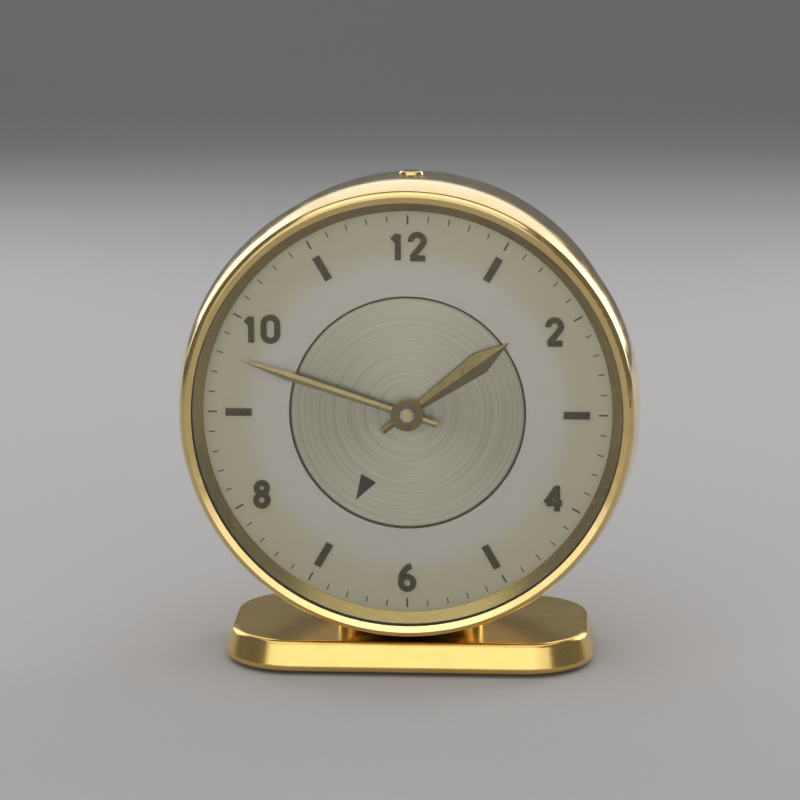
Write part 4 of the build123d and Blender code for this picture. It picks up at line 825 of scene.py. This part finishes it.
# %% [markdown]
# ## Springs that bend
# A blade spring pushes each click into its ratchet, and a bowed one under the stop button lifts it
# again. The imported blades are stiff, so at the end of a stroke they would cut into what they press.
# We copy them and cut the copies into short lengths, from each one's fixed foot to the piece that it
# presses, because a mesh can bend only at its points. The bowed blade has a foot at each end, so it
# becomes two halves that meet under the button.

# %% Cut a blade that bends
BLADE_CUTS = 12
SAME_POINT = 0.0001 * MM


def slice_at(mesh, place, direction, halve=False):
    """Cuts a mesh by a plane and gives what the cut made; halve drops what lies behind the plane."""
    everything = mesh.verts[:] + mesh.edges[:] + mesh.faces[:]
    return bmesh.ops.bisect_plane(
        mesh, geom=everything, dist=SAME_POINT, plane_co=place, plane_no=direction, clear_inner=halve
    )["geom_cut"]


def bending_blade(name, node, side, foot, touch):
    """The blade left (-1) or right (1) of the middle, cut into lengths between two places, across and up.
    """
    start, end = [on_dial @ (Vector((*place, 0.0)) * MM) for place in (foot, touch)]
    mesh = bmesh.new()
    mesh.from_mesh(nodes[node].data)
    bmesh.ops.remove_doubles(mesh, verts=mesh.verts, dist=SAME_POINT)
    cut_parts = slice_at(mesh, dial_centre, (side, 0, 0), halve=True)
    rim = [part for part in cut_parts if isinstance(part, bmesh.types.BMEdge)]
    # Only the bowed blade is cut through at the middle, and its cut end is closed again
    if rim:
        bmesh.ops.edgenet_fill(mesh, edges=rim)
    for cut in range(BLADE_CUTS + 1):
        slice_at(mesh, start.lerp(end, cut / BLADE_CUTS), end - start)
    blade = make_piece(name, mesh, Matrix.Identity(4), crease=30.0)
    blade.data.materials.clear()
    blade.data.materials.append(steel)
    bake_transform(blade)
    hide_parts(node)


# %% Cut the click springs and the stop spring
BLADE_FROM_ARBOR = 8.15
BLADE_FOOT = -3.3
BLADE_TOUCH = -0.9
BOW_FOOT = 6.4
BOW_TOUCH = 3.0


def beside_arbor(arbor, angle, along):
    """A place on a click's blade: its angle about the arbor in degrees, and mm along the blade."""
    across, up = middle_of(arbor)
    turn = math.radians(angle)
    return (
        across + BLADE_FROM_ARBOR * math.cos(turn) - along * math.sin(turn),
        up + BLADE_FROM_ARBOR * math.sin(turn) + along * math.cos(turn),
    )


for click, arbor, angle, side in (
    ("time_click", "barrel_arbor", 150, -1),
    ("alarm_click", "alarm_barrel_arbor", 40, 1),
):
    foot, touch = [beside_arbor(arbor, angle, along) for along in (BLADE_FOOT, BLADE_TOUCH)]
    bending_blade(click + "_spring", "click_springs", side, foot, touch)
for word, side in (("left", -1), ("right", 1)):
    foot, touch = [(across * side, 0.0) for across in (BOW_FOOT, BOW_TOUCH)]
    bending_blade("stop_spring_" + word, "stop_spring", side, foot, touch)

# %% [markdown]
# ## The felt under the foot
# A pad of green felt keeps the brass off the table. Felt has no weave: it is pressed wool, with a
# ragged cut edge and a nap that catches light at a grazing angle. The pad is a slab of rings, from
# near its middle out to the edge and back, whose points wander a little. Its nap is the shader's
# sheen.

# %% Mark out the pad
FELT_CORNER = 9.5 * MM
felt_low, felt_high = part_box("base_felt")
felt_size = felt_high - felt_low


def rounded_rectangle(width, depth, corner, count):
    """Points at even steps round a rectangle with round corners."""
    straight_x, straight_y = width - 2 * corner, depth - 2 * corner
    arc = corner * math.pi / 2
    runs = [straight_y, arc, straight_x, arc] * 2
    total = sum(runs)
    centres = [(1, 1), (-1, 1), (-1, -1), (1, -1)]
    points = []
    for index in range(count):
        along = index * total / count
        run = 0
        while along > runs[run]:
            along -= runs[run]
            run += 1
        # Even runs are straight sides, and odd ones are the corners that follow them
        side = run // 2
        sx, sy = centres[side]
        middle = Vector((sx * straight_x / 2, sy * straight_y / 2))
        outward = side * math.pi / 2
        if run % 2 == 0:
            ahead = Vector((-math.sin(outward), math.cos(outward)))
            start = middle - ahead * runs[run]
            points.append(start + Vector((math.cos(outward), math.sin(outward))) * corner + ahead * along)
        else:
            turn = outward + along / corner
            points.append(middle + Vector((math.cos(turn), math.sin(turn))) * corner)
    return points


print("felt", [round(1000 * side, 1) for side in felt_size], "mm")

# %% Cut the felt
# Each ring of the pad: its share of the outline and its share of the thickness
FELT_RINGS = ((0.3, 0.0), (0.97, 0.0), (0.995, 0.25), (0.995, 0.75), (0.97, 1.0), (0.3, 1.0))
# How far its edge wanders, as a share, and how fast, per metre and from face to face
FELT_RAGGED = 0.006
TUFTS_PER_METRE = 900
LAYER_SHIFT = 0.0004


def felt_pad(name, count=220):
    mesh = bmesh.new()
    edge = rounded_rectangle(felt_size.x, felt_size.y, FELT_CORNER, count)
    middle = (felt_low + felt_high) / 2
    layers = []
    for share, height in FELT_RINGS:
        layer = []
        for point in edge:
            tuft = Vector((point.x, point.y, height * LAYER_SHIFT)) * TUFTS_PER_METRE
            ragged = 1 - FELT_RAGGED * (1 + noise.noise(tuft))
            place = point * share * ragged
            up = felt_low.z + height * felt_size.z
            layer.append(mesh.verts.new((middle.x + place.x, middle.y + place.y, up)))
        layers.append(layer)
    close_rings(mesh, layers)
    mesh.faces.new(layers[0])
    mesh.faces.new(layers[-1])
    return make_piece(name, mesh, Matrix.Identity(4), crease=60.0)


# %% Dye the felt and lay it
FELT_DARK = (0.018, 0.055, 0.03)
FELT_LIGHT = (0.06, 0.13, 0.075)


def green_felt(name):
    finish = Finish(name)
    spot = Spot(finish)
    fibres = finish.grain(spot.place, scale=3.5, detail=6.0)
    clumps = finish.grain(spot.place, scale=0.9, detail=3.0)
    colour = finish.blend(fibres * 0.7 + clumps * 0.3, FELT_DARK, FELT_LIGHT)
    return finish.surface(
        {
            "Base Color": colour,
            "Roughness": 0.85 + 0.1 * clumps,
            "Sheen Weight": 0.5,
            "Sheen Roughness": 0.5,
        },
        height=fibres,
        depth=0.08,
    )


felt = felt_pad("felt_pad")
felt.data.materials.append(green_felt("green_felt"))
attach(felt, "case")
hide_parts("base_felt")

# %% [markdown]
# ## Floor and backdrop
# A photographer stands a clock on a long sheet of paper that curves up behind it, so that no edge
# shows. Ours is one profile, swept sideways: flat floor, a wide bend and a wall. The paper is pale and
# plain, with just enough grain to look like paper. It is stage, not part of the clock.

# %% Hang the paper
BEND_STEPS = 16
PAPER = (0.5, 0.49, 0.485)
PAPER_SHADE = (0.45, 0.44, 0.44)


def paper_sweep(name, half_width=4.0, front=-5.0, back=1.3, bend=0.6, top=2.2):
    profile = [(front, 0.0), (0.0, 0.0), (back - bend, 0.0)]
    for step in range(1, BEND_STEPS + 1):
        turn = step * math.pi / 2 / BEND_STEPS
        profile.append((back - bend + bend * math.sin(turn), bend - bend * math.cos(turn)))
    profile.append((back, top))
    mesh = bmesh.new()
    left = [mesh.verts.new((-half_width, y, z)) for y, z in profile]
    right = [mesh.verts.new((half_width, y, z)) for y, z in profile]
    for index in range(len(profile) - 1):
        mesh.faces.new((left[index], left[index + 1], right[index + 1], right[index]))
    sweep = make_piece(name, mesh, Matrix.Identity(4), crease=60.0)
    return sweep


def pale_paper(name):
    finish = Finish(name)
    place = finish.add("TexCoord", out="Object")
    pulp = finish.grain(place, scale=600.0, detail=3.0)
    tone = finish.grain(place, scale=2.2, detail=2.0)
    colour = finish.blend(pulp * 0.3 + tone * 0.7, PAPER, PAPER_SHADE)
    return finish.surface({"Base Color": colour, "Roughness": 0.8 + 0.1 * pulp}, height=pulp, depth=0.05)


paper = paper_sweep("paper_sweep")
paper.data.materials.append(pale_paper("pale_paper"))

# %% [markdown]
# ## Lamps
# Polished brass shows the room, not its own colour, so the lamps are as much a drawing as a light. The
# top of the bezel slopes so that the camera sees in it what hangs low behind the clock: a wide box and
# a smaller one at each end draw the bright arc there. One overhead lights the floor and the sloped
# ring, one above the camera lights the dial, and a low panel in front draws the light along the sloped
# foot. The world is a dim, even grey that fills what is left.

# %% Hang the soft boxes
def soft_box(name, size, place, aim, power):
    light = bpy.data.lights.new(name, "AREA")
    light.shape = "RECTANGLE"
    light.size, light.size_y = size
    light.energy = power
    lamp = bpy.data.objects.new(name, light)
    bpy.context.scene.collection.objects.link(lamp)
    lamp.location = place
    lamp.rotation_mode = "QUATERNION"
    lamp.rotation_quaternion = (Vector(aim) - Vector(place)).to_track_quat("-Z", "Y")
    print(name, power, "W")


soft_box("behind", size=(0.9, 0.26), place=(0.0, 0.42, 0.34), aim=(0.0, -0.05, 0.06), power=0.8)
soft_box("behind_left", size=(0.3, 0.3), place=(-0.36, 0.34, 0.19), aim=(0.0, -0.02, 0.06), power=0.45)
soft_box("behind_right", size=(0.3, 0.3), place=(0.4, 0.34, 0.19), aim=(0.0, -0.02, 0.06), power=0.75)
soft_box("overhead", size=(1.0, 0.6), place=(0.0, -0.1, 0.75), aim=(0.0, -0.05, 0.05), power=2.4)
soft_box("above_the_camera", size=(1.1, 0.7), place=(-0.1, -0.65, 0.55), aim=(0.0, 0.0, 0.03), power=2.0)
soft_box("low_in_front", size=(1.6, 0.34), place=(0.0, -0.74, 0.19), aim=(0.0, 0.0, 0.02), power=1.9)

# %% Dim the room
world = bpy.data.worlds.new("dim_room")
bpy.context.scene.world = world
world.use_nodes = True
room = world.node_tree.nodes["Background"]
room.inputs["Color"].default_value = (0.5, 0.5, 0.52, 1.0)
room.inputs["Strength"].default_value = 0.3
print(world.name, "at", round(room.inputs["Strength"].default_value, 2))

# %% [markdown]
# ## Camera
# The photograph looks at the dial from about twelve degrees above and half a metre or so away. The
# foot stands a little further right than the dial in it, which places the camera a few degrees to the
# right as well. The dial's middle lies a little right of and below the middle of the picture, so the
# camera aims beside it by that much. The picture is square: its 800 pixels show about 129 mm at the
# dial.

# %% Place the camera
DISTANCE = 0.55
ELEVATION = math.radians(12.0)
AZIMUTH = math.radians(3.0)
SEEN_WIDTH = 128.6 * MM
AIM_LEFT = 1.2 * MM
AIM_UP = 2.1 * MM
SENSOR = 36.0
camera_data = bpy.data.cameras.new("camera")
camera_data.sensor_width = SENSOR
camera_data.lens = SENSOR * DISTANCE / SEEN_WIDTH
camera = bpy.data.objects.new("camera", camera_data)
bpy.context.scene.collection.objects.link(camera)
right = Vector((math.cos(AZIMUTH), math.sin(AZIMUTH), 0.0))
level = Vector((math.sin(AZIMUTH), -math.cos(AZIMUTH), 0.0))
back = level * math.cos(ELEVATION) + Vector((0.0, 0.0, math.sin(ELEVATION)))
over = back.cross(right)
aim = dial_centre - right * AIM_LEFT + over * AIM_UP
camera.location = aim + back * DISTANCE
camera.rotation_mode = "QUATERNION"
camera.rotation_quaternion = (-back).to_track_quat("-Z", "Y")
bpy.context.scene.camera = camera
bpy.context.scene.view_settings.view_transform = "Standard"
print("lens", round(camera_data.lens, 1), "mm")
